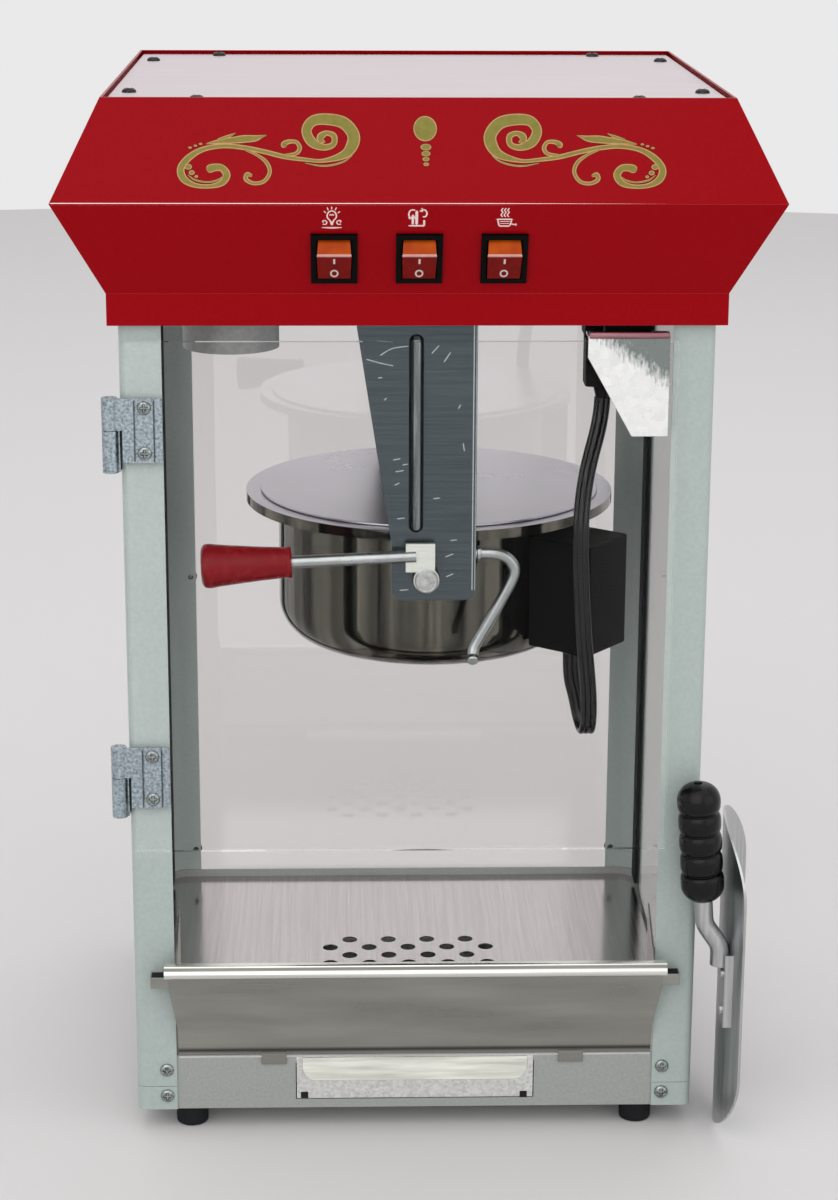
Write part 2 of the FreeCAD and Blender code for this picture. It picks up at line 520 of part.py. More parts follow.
HANGER_BOLTS = ("-hanger_left + bolt_inset", "hanger_right - bolt_inset")
LOCK_Y = f"(-{HANGER} + lock_setback)"
hanger("front_hanger", "hanger_front", -1)
hanger("rear_hanger", "hanger_rear", 1)
ceiling_bolts = list(motor_screws)
for side in (-1, 1):
    for i, x in enumerate(HANGER_BOLTS):
        spot = (x, f"{side} * ({HANGER} - hanger_top_flange / 2)")
        head = rod(f"hanger_head_{side + 1}_{i}", "bolt_head", "bolt_height", *spot,
                   f"{CEILING} - hanger_sheet - bolt_height")
        shank = rod(f"hanger_shank_{side + 1}_{i}", "screw_shank", "hanger_sheet", *spot,
                    f"{CEILING} - hanger_sheet")
        ceiling_bolts.append(fuse(f"hanger_bolt_{side + 1}_{i}", head, shank))
node("ceiling_bolts", group("ceiling_bolts", ceiling_bolts))

# Pivot bushes, pressed into the hangers, with a collar inside
bushes = []
for side in (-1, 1):
    inner_end = f"{HANGER} - bush_collar_length"
    outer_end = f"({inner_end} + bush_length)"
    start = f"-{outer_end}" if side < 0 else inner_end
    collar_start = f"-{HANGER}" if side < 0 else inner_end
    tube = rod(f"bush_tube_{side + 1}", "bush_radius", "bush_length", "pivot_across", start,
               "pivot_height", "y")
    collar = rod(f"bush_collar_{side + 1}", "bush_collar", "bush_collar_length", "pivot_across",
                 collar_start, "pivot_height", "y")
    bore = rod(f"bush_bore_{side + 1}", "journal_radius + running_gap", "bush_length * 2",
               "pivot_across", f"{start} - bush_length / 2", "pivot_height", "y")
    bushes.append(cut(f"bush_{side + 1}", fuse(f"bush_form_{side + 1}", tube, collar), bore))
node("pivot_bushes", group("pivot_bushes", bushes))

# Kettle: an inner pan with a wide flange, in a drawn shell that holds the heater
FLANGE_LOW = "(kettle_rim - flange_sheet)"
pan_bore = f"({PAN_R} - kettle_wall)"
pan_form = turned("pan_form",
                  [(0, "pan_floor"), (PAN_R, "pan_floor"), (PAN_R, FLANGE_LOW),
                   (f"{FLANGE_R} - flange_sheet", FLANGE_LOW),
                   (f"{FLANGE_R} - flange_sheet", "kettle_rim - flange_lip"),
                   (FLANGE_R, "kettle_rim - flange_lip"), (FLANGE_R, "kettle_rim"),
                   (pan_bore, "kettle_rim"), (pan_bore, "pan_floor + kettle_wall"),
                   (0, "pan_floor + kettle_wall")])
node("kettle_pan", place(pan_form, "kettle_across"))
shell_form = turned("shell_form",
                    [(0, "kettle_bottom"), (KETTLE_R, "kettle_bottom"),
                     (KETTLE_R, FLANGE_LOW), (f"{KETTLE_R} - kettle_wall", FLANGE_LOW),
                     (f"{KETTLE_R} - kettle_wall", "kettle_bottom + kettle_wall"),
                     (0, "kettle_bottom + kettle_wall")])
shell_inner = rounded("shell_inner", shell_form, size("kettle_round") - size("kettle_wall"),
                      lambda e: abs(e.BoundBox.ZMax - size("kettle_bottom")
                                    - size("kettle_wall")) < 0.01
                      and e.BoundBox.XLength > size("cabinet_depth") / 2)
shell_outer = rounded("shell_outer", shell_inner, size("kettle_round"),
                      lambda e: abs(e.BoundBox.ZMax - size("kettle_bottom")) < 0.01
                      and e.BoundBox.XLength > size("cabinet_depth") / 2)
node("kettle_shell", place(group("kettle_shell", [shell_outer]), "kettle_across"))
HEATER_R = f"({PAN_R} - heater_inset)"
heater = add("Part::Torus", "heater_ring", Radius1=HEATER_R, Radius2="heater_radius")
node("heater_ring", place(heater, "kettle_across", 0, "pan_floor - heater_radius"))

# Crossbar over the kettle with the ears for both lids, and the stirrer's bush in its middle
BAR_HIGH = "(kettle_rim + bar_thick)"
AXIS_Z = "(kettle_rim + lid_axis_up)"
BAR_END = f"({FLANGE_R} - bar_inset)"
bar = block("bar", ("kettle_across - bar_half_width", "kettle_across + bar_half_width"),
            (f"-{BAR_END}", BAR_END), ("kettle_rim", BAR_HIGH))
ears, pin_holes, lid_pins = [], [], []
for side in (-1, 1):
    axis_x = f"(kettle_across + {side} * lid_axis_out)"
    edges = (f"kettle_across + {side} * (bar_half_width - past)", f"{axis_x} + {side} * lid_knuckle")
    for end in (-1, 1):
        low, high = ("ear_inner", "ear_inner + ear_thick") if end > 0 else ("-ear_inner - ear_thick",
                                                                            "-ear_inner")
        ears.append(block(f"ear_{side + 1}_{end + 1}", edges if side > 0 else edges[::-1], (low, high),
                          (f"{AXIS_Z} - lid_knuckle + ear_notch", f"{AXIS_Z} + lid_knuckle")))
    pin_length = "2 * (ear_inner + ear_thick)"
    pin_start = "-ear_inner - ear_thick"
    pin_holes.append(rod(f"lid_pin_hole_{side + 1}", "lid_pin", pin_length, axis_x, pin_start, AXIS_Z,
                         "y"))
    lid_pins.append(rod(f"lid_pin_{side + 1}", "lid_pin", pin_length, axis_x, pin_start, AXIS_Z, "y"))
bush_seat = rod("stirrer_bush_seat", "stirrer_bush_radius", "bar_thick * 3", "kettle_across", 0,
                "kettle_rim - bar_thick")
node("kettle_crossbar",
     cut("kettle_crossbar", fuse("crossbar_form", bar, *ears), bush_seat, *pin_holes))
node("lid_pins", group("lid_pins", lid_pins))
BUSH_LOW = "(kettle_rim - stirrer_bush_below)"
BUSH_HIGH = f"({BAR_HIGH} + stirrer_bush_above)"
bush_form = rod("stirrer_bush_form", "stirrer_bush_radius", f"{BUSH_HIGH} - {BUSH_LOW}",
                "kettle_across", 0, BUSH_LOW)
bush_bore = rod("stirrer_bush_bore", "stirrer_shaft + running_gap", "kettle_rim", "kettle_across", 0,
                "kettle_rim / 2")
node("stirrer_bush", cut("stirrer_bush", bush_form, bush_bore))

# Two half lids, each on a knuckle between the crossbar's ears
LID_R = f"({FLANGE_R} - lid_inset)"
for side, lid_name in ((-1, "lid_left"), (1, "lid_right")):
    axis_x = f"(kettle_across + {side} * lid_axis_out)"
    disc = rod(f"{lid_name}_disc", LID_R, "lid_sheet", "kettle_across", 0,
               "kettle_rim + lid_seat")
    spans = (axis_x, f"kettle_across + {side} * ({LID_R} + past)")
    half = block(f"{lid_name}_half", spans if side > 0 else spans[::-1],
                 (f"-{LID_R} - past", f"{LID_R} + past"),
                 ("kettle_rim", "kettle_rim + lid_sheet * 3"))
    knuckle_y = ("-ear_inner + ear_notch", "ear_inner - ear_notch")
    knuckle = rod(f"{lid_name}_knuckle", "lid_knuckle", "2 * (ear_inner - ear_notch)", axis_x,
                  knuckle_y[0], AXIS_Z, "y")
    root = (axis_x, f"{axis_x} + {side} * lid_knuckle")
    knuckle_root = block(f"{lid_name}_root", root if side > 0 else root[::-1], knuckle_y,
                         ("kettle_rim + lid_seat", AXIS_Z))
    bore = rod(f"{lid_name}_bore", "lid_pin + running_gap", "2 * (ear_inner + ear_thick)", axis_x,
               "-ear_inner - ear_thick", AXIS_Z, "y")
    notches = []
    for end in (-1, 1):
        low, high = ("ear_inner - ear_notch", "ear_inner + ear_thick + ear_notch")
        notch_y = (low, high) if end > 0 else (f"-({high})", f"-({low})")
        notch_x = (f"{axis_x} - {side} * past", f"{axis_x} + {side} * lid_notch")
        notches.append(block(f"{lid_name}_notch_{end + 1}", notch_x if side > 0 else notch_x[::-1],
                             notch_y, ("kettle_rim", f"{AXIS_Z} + lid_knuckle")))
    lid_form = fuse(f"{lid_name}_form", common(f"{lid_name}_sheet", disc, half), knuckle, knuckle_root)
    node(lid_name, cut(lid_name, lid_form, bore, *notches))

# Stirrer: a tall shaft with a flat tang on top, a collar on the bush and a blade above the pan's floor
shaft = rod("stirrer_rod", "stirrer_shaft", "stirrer_shoulder - stirrer_low", "kettle_across", 0,
            "stirrer_low")
tang = block("tang", ("kettle_across - tang_width / 2", "kettle_across + tang_width / 2"),
             ("-tang_thick / 2", "tang_thick / 2"), ("stirrer_shoulder - past", "tang_top"))
collar = rod("stirrer_collar", "collar_radius", "collar_height", "kettle_across", 0,
             f"{BUSH_HIGH} + end_gap")
BLADE_END = f"({PAN_R} - blade_clear)"
blade = block("blade", (f"kettle_across - {BLADE_END}", f"kettle_across + {BLADE_END}"),
              ("-blade_thick / 2", "blade_thick / 2"), ("stirrer_low", "stirrer_low + blade_height"))
node("stirrer", fuse("stirrer", shaft, tang, collar, blade))

# Terminal box on the kettle's side, where its cord goes in
BOX_OUT = f"({KETTLE_R} + box_reach)"
box_block = block("box_block", (f"{KETTLE_R} - box_corner * 2", BOX_OUT),
                  ("-box_half_width", "box_half_width"), ("box_low", "box_high"))
box_round = rounded("box_round", box_block, size("box_corner"), lambda e: upright(e)
                    and abs(e.BoundBox.XMax - box_block.Shape.BoundBox.XMax) < 0.01)
box_clear = rod("box_clear", KETTLE_R, "kettle_rim", 0, 0, 0)
box_form = cut("box_form", box_round, box_clear)
node("terminal_box",
     place(group("terminal_box", [box_form]), "kettle_across", 0, 0, (0, 0, 1), "-box_angle"))

# Pivot studs: a boss on the shell and a journal in the bush
BOSS_END = f"({HANGER} - bush_collar_length - end_gap)"
studs = []
for side, stud_name in ((-1, "front_stud"), (1, "rear_stud")):
    journal_end = f"({HANGER} + hanger_sheet + lever_standoff + lug_sheet)" if side < 0 else \
        f"({HANGER} - bush_collar_length + bush_length + end_gap)"
    boss_start = f"-{BOSS_END}" if side < 0 else f"{KETTLE_R} / 2"
    journal_start = f"-{journal_end}" if side < 0 else BOSS_END
    boss = rod(f"{stud_name}_boss", "boss_radius", f"{BOSS_END} - {KETTLE_R} / 2", "pivot_across",
               boss_start, "pivot_height", "y")
    journal = rod(f"{stud_name}_journal", "journal_radius", f"{journal_end} - {BOSS_END}",
                  "pivot_across", journal_start, "pivot_height", "y")
    clear = rod(f"{stud_name}_clear", KETTLE_R, "kettle_rim", "kettle_across", 0, 0)
    studs.append(cut(stud_name, fuse(f"{stud_name}_form", boss, journal), clear))
node("pivot_studs", group("pivot_studs", studs))
LUG_FACE = f"(-{HANGER} - hanger_sheet - lever_standoff - lug_sheet)"
LUG_BACK = f"(-{HANGER} - hanger_sheet - lever_standoff)"
pivot_head = rod("pivot_bolt_head", "pivot_head", "pivot_head_height", "pivot_across",
                 f"{LUG_FACE} - pivot_head_height", "pivot_height", "y")
node("pivot_bolt", rounded("pivot_bolt", pivot_head, size("pivot_head_height") / 4,
                           lambda e: abs(e.BoundBox.YMax - pivot_head.Shape.BoundBox.YMin) < 0.01))

# Tilt lever: a lug on the front stud with the handle's rod welded to it, and the grip
ROD_Y = f"({LUG_FACE} + lug_sheet / 2)"
ROD_TURN = "-90 - rod_droop"
lug = block("lug", ("pivot_across - lug_left", "pivot_across + lug_right"), (LUG_FACE, LUG_BACK),
            ("pivot_height + lug_step", "pivot_height + lug_top"))
lug_hole = rod("lug_hole", "journal_radius", "lug_sheet * 3", "pivot_across", f"{LUG_FACE} - lug_sheet",
               "pivot_height", "y")
lug_round = rod("lug_eye", "lug_low", "lug_sheet", "pivot_across", LUG_FACE, "pivot_height", "y")
handle_rod = add("Part::Cylinder", "handle_rod", Radius="rod_radius",
                 Height="grip_start - lug_left / 2 + grip_bore_depth - end_gap")
place(handle_rod, "pivot_across - lug_left / 2", ROD_Y, "pivot_height + rod_rise", (0, 1, 0), ROD_TURN)
node("tilt_lever", cut("tilt_lever", fuse("lever_form", lug, lug_round, handle_rod), lug_hole))
grip_form = turned("grip_form",
                   [("rod_radius", 0), ("grip_inner_radius", 0), ("grip_outer_radius", "grip_length"),
                    (0, "grip_length"), (0, "grip_bore_depth"), ("rod_radius", "grip_bore_depth")])
grip_round = rounded("grip_rounded", grip_form, size("grip_round"),
                     lambda e: abs(e.BoundBox.ZMin - size("grip_length")) < 0.01 and e.Length > 20)
GRIP_RUN = "(grip_start - lug_left / 2)"
grip = group("tilt_grip", [grip_round])
node("tilt_grip", place(grip, f"pivot_across - lug_left / 2 - {GRIP_RUN} * cos(rod_droop)", ROD_Y,
                        f"pivot_height + rod_rise - {GRIP_RUN} * sin(rod_droop)", (0, 1, 0), ROD_TURN))

# Lock lever: a bent rod through the front hanger's edge, with a collar behind the edge
lock_collar = rod("lock_collar", "lock_collar", "hanger_right - hanger_sheet - end_gap - lock_tail",
                  "lock_tail", LOCK_Y, "lock_height", "x")
doc.recompute()
lock_y = lock_collar.Shape.BoundBox.Center.y
lock_points = [Vector(size("lock_tail"), lock_y, size("lock_height")),
               Vector(size("lock_reach"), lock_y, size("lock_height")),
               Vector(size("lock_end_x"), lock_y, size("lock_end_height"))]
lock_rod = bent_rod("lock_rod", lock_points, size("lock_radius"), [size("lock_bend")])
lock_tip = ball("lock_tip", "lock_tip", "lock_end_x", LOCK_Y, "lock_end_height")
node("lock_lever", fuse("lock_lever", lock_rod, lock_collar, lock_tip))

# Kettle outlet under the ceiling, its plug, and the cord that hangs to the terminal box
OUTLET_Y = "(-cabinet_depth / 2 + outlet_inset)"
outlet_x = ("outlet_across - outlet_width / 2", "outlet_across + outlet_width / 2")
outlet_y = (f"{OUTLET_Y} - outlet_width / 2", f"{OUTLET_Y} + outlet_width / 2")
PLUG_TOP = f"({CEILING} - outlet_height)"
PLUG_LOW = f"({CEILING} - outlet_height - plug_height)"
node("kettle_outlet", block("kettle_outlet", outlet_x, outlet_y, (PLUG_TOP, CEILING)))
plug_x = ("outlet_across - plug_width / 2", "outlet_across + plug_width / 2")
plug_y = (f"{OUTLET_Y} - plug_width / 2", f"{OUTLET_Y} + plug_width / 2")
plug_block = block("plug_block", plug_x, plug_y, (PLUG_LOW, PLUG_TOP))
node("kettle_plug", rounded("kettle_plug", plug_block, size("box_corner"), upright))
relief = add("Part::Cone", "cord_relief", Radius1="cord_radius", Radius2="relief_radius",
             Height="relief_length")
node("cord_relief", place(relief, "outlet_across", OUTLET_Y, f"{PLUG_LOW} - relief_length"))
doc.recompute()
cord_start = Vector(size("outlet_across"), relief.Shape.BoundBox.Center.y, relief.Shape.BoundBox.ZMin)
box_turn = Rotation(Vector(0, 0, 1), -size("box_angle"))
cord_end = Vector(size("kettle_across"), 0, 0) + box_turn.multVec(
    Vector(box_block.Shape.BoundBox.XMax - size("cord_entry_inset"), -size("cord_entry_side"),
           size("box_low") - size("end_gap")))
# the cord hangs down from the plug, then turns up to the box: steps from its start and from its end
hang = [(0, 0, 0), (0, 0, -12), (-10, -11, -45), (-13, -18, -75), (-12, -20.5, -109),
        (-9.5, -20.8, -143), (-6.5, -19.5, -172), (-5.4, -18.2, -189)]
rise = [(9.4, -23.5, -44.5), (8.8, -16.8, -51.2), (7.8, -7.2, -51.2), (6, -0.5, -44.5),
        (3.5, 0, -30.7), (0, 0, -14.7), (0, 0, 0)]
cord_route = [cord_start + Vector(*step) for step in hang] + [cord_end + Vector(*step) for step in rise]
cord_bends = []
for before, corner, after in zip(cord_route, cord_route[1:], cord_route[2:]):
    turn = math.pi - (before - corner).getAngle(after - corner)
    shorter = min((before - corner).Length, (after - corner).Length)
    cord_bends.append(0.45 * shorter / math.tan(turn / 2))
node("kettle_cord", bent_rod("kettle_cord", cord_route, size("cord_radius"), cord_bends))


# Posts and corner shoes: folded angles, the rear pair with a wide cove
def corner_angle(name, side, end, low, high):
    """An angle at one corner of the cabinet: side is -1 at the left, end is -1 in front."""
    flange, corner = ("post_side", "post_corner") if end < 0 else ("rear_side", "rear_corner")
    x0, y0 = f"{side} * {HALF_W}", f"{end} * cabinet_depth / 2"
    x1, y1 = f"{side} * ({HALF_W} - post_sheet)", f"{end} * (cabinet_depth / 2 - post_sheet)"
    x2, y2 = f"{side} * ({HALF_W} - post_face)", f"{end} * (cabinet_depth / 2 - {flange})"
    form = plate(name + "_angle", "XY_Plane",
                 [(x0, y0), (x2, y0), (x2, y1), (x1, y1), (x1, y2), (x0, y2)], f"({high}) - ({low})",
                 z=low)
    inner = Vector(side * (size("cabinet_width") / 2 - size("post_sheet")),
                   end * (size("cabinet_depth") / 2 - size("post_sheet")), 0)
    outer = Vector(side * size("cabinet_width") / 2, end * size("cabinet_depth") / 2, 0)

    def at(spot):
        return lambda e: upright(e) and math.hypot(e.BoundBox.XMin - spot.x,
                                                   e.BoundBox.YMin - spot.y) < 0.01
    coved = rounded(name + "_cove", form, size(corner) - size("post_sheet"), at(inner))
    return rounded(name + "_bend", coved, size(corner), at(outer))


CORNERS = {"front_left": (-1, -1), "front_right": (1, -1), "rear_left": (-1, 1), "rear_right": (1, 1)}
POST_SCREW_X = f"({HALF_W} - post_face + post_screw_inset)"
POST_SCREWS = {"high": "seam_height + post_screw_high", "low": "seam_height - post_screw_low"}
BACK_SCREW_Z = [f"({BASE_TOP} + back_screw_low + back_screw_rise * {i})" for i in range(3)]
screws, front_holes, back_holes = [], [], []
for side in (-1, 1):
    for level, height in POST_SCREWS.items():
        spot = (f"{side} * {POST_SCREW_X}", height)
        tag = f"{level}_{side + 1}"
        head = rod(f"post_head_{tag}", "screw_head", "screw_head_height", spot[0],
                   f"{FRONT} - screw_head_height", spot[1], "y")
        shank = rod(f"post_shank_{tag}", "screw_shank", "screw_length", spot[0], FRONT, spot[1], "y")
        screws.append(fuse(f"post_screw_{tag}", head, shank))
        front_holes.append(rod(f"post_hole_{tag}", SCREW_HOLE, "screw_length * 2", spot[0],
                               f"{FRONT} - screw_length", spot[1], "y"))
    for i, height in enumerate(BACK_SCREW_Z):
        spot = f"{side} * ({HALF_W} - post_face + back_screw_inset)"
        tag = f"{i}_{side + 1}"
        head = rod(f"back_head_{tag}", "screw_head", "screw_head_height", spot, f"{REAR} + back_thick",
                   height, "y")
        shank = rod(f"back_shank_{tag}", "screw_shank", "screw_length", spot,
                    f"{REAR} + back_thick - screw_length", height, "y")
        screws.append(fuse(f"back_screw_{tag}", head, shank))
        back_holes.append(rod(f"back_hole_{tag}", SCREW_HOLE, "screw_length * 3", spot,
                              f"{REAR} - screw_length * 2", height, "y"))
node("frame_screws", group("frame_screws", screws))
front_hole_set = group("front_hole_set", front_holes)
back_hole_set = group("back_hole_set", back_holes)
posts, shoes = [], []
for corner_name, (side, end) in CORNERS.items():
    post = corner_angle(f"post_{corner_name}", side, end, "seam_height + seam_gap", CEILING)
    shoe = corner_angle(f"shoe_{corner_name}", side, end, "foot_height", "seam_height")
    holes = front_hole_set if end < 0 else back_hole_set
    posts.append(cut(f"post_{corner_name}_drilled", post, holes))
    shoes.append(cut(f"shoe_{corner_name}_drilled", shoe, holes))
node("cabinet_posts", group("cabinet_posts", posts))
node("corner_shoes", group("corner_shoes", shoes))


# Base pan: a deep tray inside the posts with the drawer's opening and runners, and its floor plate
def rounded_block(name, x, y, z, front, rear):
    """A block with its front and rear upright edges rounded to fit the posts."""
    form = block(name + "_block", (f"-({x})", x), (f"-({y})", y), z)
    near = rounded(name + "_near", form, front, lambda e: upright(e) and e.BoundBox.YMax < 0)
    return rounded(name + "_far", near, rear, lambda e: upright(e) and e.BoundBox.YMin > 0 and abs(
        e.BoundBox.YMin - near.Shape.BoundBox.YMax) < 0.01)


front_round = size("post_corner") - size("post_sheet")
rear_round = size("rear_corner") - size("post_sheet")
base_outside = rounded_block("base_outside", INNER_X, INNER_Y, ("foot_height", BASE_TOP), front_round,
                             rear_round)
base_inside = rounded_block("base_inside", f"{INNER_X} - base_sheet", f"{INNER_Y} - base_sheet",
                            ("foot_height + base_sheet", f"{BASE_TOP} + past"),
                            front_round - size("base_sheet"), rear_round - size("base_sheet"))
DRAWER_X = "(drawer_width / 2)"
DRAWER_LOW = "(foot_height + drawer_floor_rise)"
DRAWER_FACE_TOP = "(foot_height + drawer_floor_rise + drawer_face_height)"
drawer_opening = block("drawer_opening", (f"-{DRAWER_X} - drawer_gap", f"{DRAWER_X} + drawer_gap"),
                       (f"{FRONT} - past", f"{FRONT} + post_sheet + base_sheet + past"),
                       (f"{DRAWER_LOW} - drawer_gap", f"{DRAWER_FACE_TOP} + drawer_gap"))
DRAWER_FACE = f"(-{INNER_Y})"
DRAWER_END = f"({DRAWER_FACE} + drawer_length)"
runners, ledges = [], []
for side in (-1, 1):
    spans = (f"{side} * ({DRAWER_X} - runner_width)", f"{side} * {DRAWER_X}")
    runners.append(block(f"runner_{side + 1}", spans if side > 0 else spans[::-1],
                         (f"{DRAWER_FACE} + base_sheet", DRAWER_END),
                         ("foot_height + base_sheet / 2", f"{DRAWER_LOW} - seat_gap")))
    rest = (f"{side} * ({INNER_X} - base_sheet - runner_width)",
            f"{side} * ({INNER_X} - base_sheet / 2)")
    ledges.append(block(f"floor_ledge_{side + 1}", rest if side > 0 else rest[::-1],
                        (f"-{INNER_Y} + rear_corner", f"{INNER_Y} - rear_corner"),
                        (f"{FLOOR} - floor_sheet - base_sheet", f"{FLOOR} - floor_sheet")))
base_form = cut("base_form", base_outside, base_inside, drawer_opening, front_hole_set)
node("base_pan", fuse("base_pan", base_form, *runners, *ledges))
floor_form = rounded_block("floor_form", f"{INNER_X} - base_sheet - floor_gap",
                           f"{INNER_Y} - base_sheet - floor_gap", (f"{FLOOR} - floor_sheet", FLOOR),
                           front_round - size("base_sheet"), rear_round - size("base_sheet"))
floor_holes = []
for row in range(7):
    count = 4 + row % 2
    for column in range(count):
        floor_holes.append(rod(f"floor_hole_{row}_{column}", "hole_radius", "floor_sheet * 4",
                               f"({column} - {(count - 1) / 2}) * hole_pitch",
                               f"hole_back - {6 - row} * hole_row", f"{FLOOR} - floor_sheet * 2"))
node("floor_plate", cut("floor_plate", floor_form, group("floor_hole_set", floor_holes)))

# Rubber feet under the base
feet = []
for i, (side, end) in enumerate(CORNERS.values()):
    spot = (f"{side} * ({HALF_W} - foot_inset)", f"{end} * (cabinet_depth / 2 - foot_inset / 2)")
    feet.append(rod(f"foot_{i}", "foot_radius", "foot_height", *spot, 0))
node("feet", group("feet", feet))

# Side panes on the base's side walls, with black seals down their edges, and the clear back panel
GLASS_OUT = f"({INNER_X} - glass_gap)"
GLASS_IN = f"({INNER_X} - glass_gap - glass_thick)"
GLASS_NEAR = f"({FRONT} + post_corner)"
GLASS_FAR = f"({REAR} - rear_corner)"
GLASS_Z = (BASE_TOP, f"{CEILING} - glass_gap")
panes, seals = [], []
for side, pane_name in ((-1, "left_pane"), (1, "right_pane")):
    spans = (f"{side} * {GLASS_IN}", f"{side} * {GLASS_OUT}")
    panes.append(block(pane_name, spans if side > 0 else spans[::-1], (GLASS_NEAR, GLASS_FAR), GLASS_Z))
    lips = (f"{side} * ({GLASS_IN} - seal_thick)", f"{side} * {GLASS_IN}")
    for end, y in ((-1, (GLASS_NEAR, f"{GLASS_NEAR} + seal_width")),
                   (1, (f"{GLASS_FAR} - seal_width", GLASS_FAR))):
        seals.append(block(f"seal_{side + 1}_{end + 1}", lips if side > 0 else lips[::-1], y, GLASS_Z))
node("side_glass", group("side_glass", panes))
node("glass_seals", group("glass_seals", seals))
BACK_X = f"({HALF_W} - rear_corner)"
back_form = block("back_form", (f"-{BACK_X}", BACK_X), (REAR, f"{REAR} + back_thick"),
                  (f"{BASE_TOP} - back_lap", CEILING))
pane_pass = rod("pane_pass", "gland_thread + past", "back_thick * 3", 0, f"{REAR} - back_thick",
                GLAND_Z, "y")
node("back_panel", cut("back_panel", back_form, back_hole_set, pane_pass))

# Door: one clear pane on two lift-off hinges, with a bent handle plate
DOOR_LEFT = f"(-{HALF_W} + door_edge_gap)"
DOOR_TOP = f"({CEILING} - door_drop)"
PIN_X = f"(-{HALF_W} - hinge_pin_out)"
PIN_Y = f"({FRONT} - hinge_pin_forward)"
LEAF_FACE = f"({DOOR_FACE} - hinge_leaf)"
HINGE_LEAF_RIGHT = f"({DOOR_LEFT} + hinge_leaf_width - door_edge_gap)"
SCREW_X = f"({HINGE_LEAF_RIGHT} - hinge_screw_inset)"
door_leaves, post_leaves, hinge_pins, hinge_screws, door_holes = [], [], [], [], []
for level in ("hinge_low", "hinge_high"):
    top = f"({level} + hinge_height / 2)"
    bottom = f"({level} - hinge_drop)"
    leaf = block(f"{level}_leaf", (DOOR_LEFT, HINGE_LEAF_RIGHT), (LEAF_FACE, DOOR_FACE),
                 (f"{level} - hinge_height / 2", top))
    tongue = block(f"{level}_tongue", (PIN_X, f"{DOOR_LEFT} + past"), (LEAF_FACE, DOOR_FACE),
                   (level, top))
    knuckle = rod(f"{level}_door_knuckle", "hinge_knuckle", f"{top} - {level}", PIN_X, PIN_Y, level)
    pin_bore = rod(f"{level}_pin_bore", "hinge_pin + hinge_clearance", "hinge_height", PIN_X, PIN_Y,
                   f"{level} - hinge_height / 2")
    leaf_holes = []
    for step in (-1, 1):
        height = f"({level} + {step} * hinge_screw_rise)"
        tag = f"{level}_{step + 1}"
        head = rod(f"{tag}_head", "screw_head", "screw_head_height", SCREW_X,
                   f"{LEAF_FACE} - screw_head_height", height, "y")
        shank = rod(f"{tag}_shank", "screw_shank", "hinge_leaf + door_thick - door_gap", SCREW_X,
                    LEAF_FACE, height, "y")
        hinge_screws.append(fuse(f"{tag}_screw", head, shank))
        hole = rod(f"{tag}_hole", SCREW_HOLE, "door_thick * 4", SCREW_X, f"{DOOR_FACE} - door_thick",
                   height, "y")
        leaf_holes.append(hole)
        door_holes.append(hole)
    door_leaves.append(cut(f"{level}_door_leaf", fuse(f"{level}_door_form", leaf, tongue, knuckle),
                           pin_bore, *leaf_holes))
    post_knuckle_top = f"({level} - hinge_gap)"
    post_knuckle = rod(f"{level}_post_knuckle", "hinge_knuckle", f"{post_knuckle_top} - {bottom}",
                       PIN_X, PIN_Y, bottom)
    post_leaf = block(f"{level}_post_leaf", (f"-{HALF_W} - post_leaf", f"-{HALF_W}"),
                      (PIN_Y, f"{FRONT} + post_corner + post_leaf_width"), (bottom, post_knuckle_top))
    post_bore = rod(f"{level}_post_bore", "hinge_pin", "hinge_height * 2", PIN_X, PIN_Y,
                    f"{bottom} - hinge_height / 2")
    post_leaves.append(cut(f"{level}_post_hinge", fuse(f"{level}_post_form", post_knuckle, post_leaf),
                           post_bore))
    hinge_pins.append(rod(f"{level}_pin", "hinge_pin", f"{top} - {bottom} - hinge_gap", PIN_X, PIN_Y,
                          bottom))
node("hinge_leaves_door", group("hinge_leaves_door", door_leaves))
node("hinge_leaves_post", group("hinge_leaves_post", post_leaves))
node("hinge_pins", group("hinge_pins", hinge_pins))
node("hinge_screws", group("hinge_screws", hinge_screws))
pane_form = block("door_pane", (DOOR_LEFT, "door_right"), (DOOR_FACE, DOOR_BACK),
                  ("door_bottom", DOOR_TOP))
node("door_glass", cut("door_glass", pane_form, group("door_hole_set", door_holes)))
HANDLE_TOP = f"({DOOR_TOP} + handle_rise)"
HANDLE_LOW = f"({HANDLE_TOP} - handle_height)"
handle_plate = plate("handle_plate", "XZ_Plane",
                     [("handle_left", HANDLE_TOP), ("handle_left", f"{HANDLE_TOP} - handle_step"),
                      ("handle_left + handle_slant_x", HANDLE_LOW),
                      ("handle_right", HANDLE_LOW), ("handle_right", HANDLE_TOP)], "handle_sheet",
                     y=DOOR_FACE)
handle_flange = block("handle_flange", ("handle_left", "handle_right"),
                      (f"{DOOR_FACE} - handle_sheet", f"{DOOR_FACE} - handle_sheet + handle_flange"),
                      (f"{HANDLE_TOP} - handle_sheet", HANDLE_TOP))
node("door_handle", fuse("door_handle", handle_plate, handle_flange))
CATCH_X = "((handle_left + handle_right) / 2)"
CATCH_BACK = f"({DOOR_FACE} - handle_sheet + handle_flange)"
node("door_catch",
     block("door_catch", (f"{CATCH_X} - catch_width / 2", f"{CATCH_X} + catch_width / 2"),
           (f"{CATCH_BACK} - catch_depth", CATCH_BACK), (f"{HANDLE_TOP} + catch_gap", CEILING)))

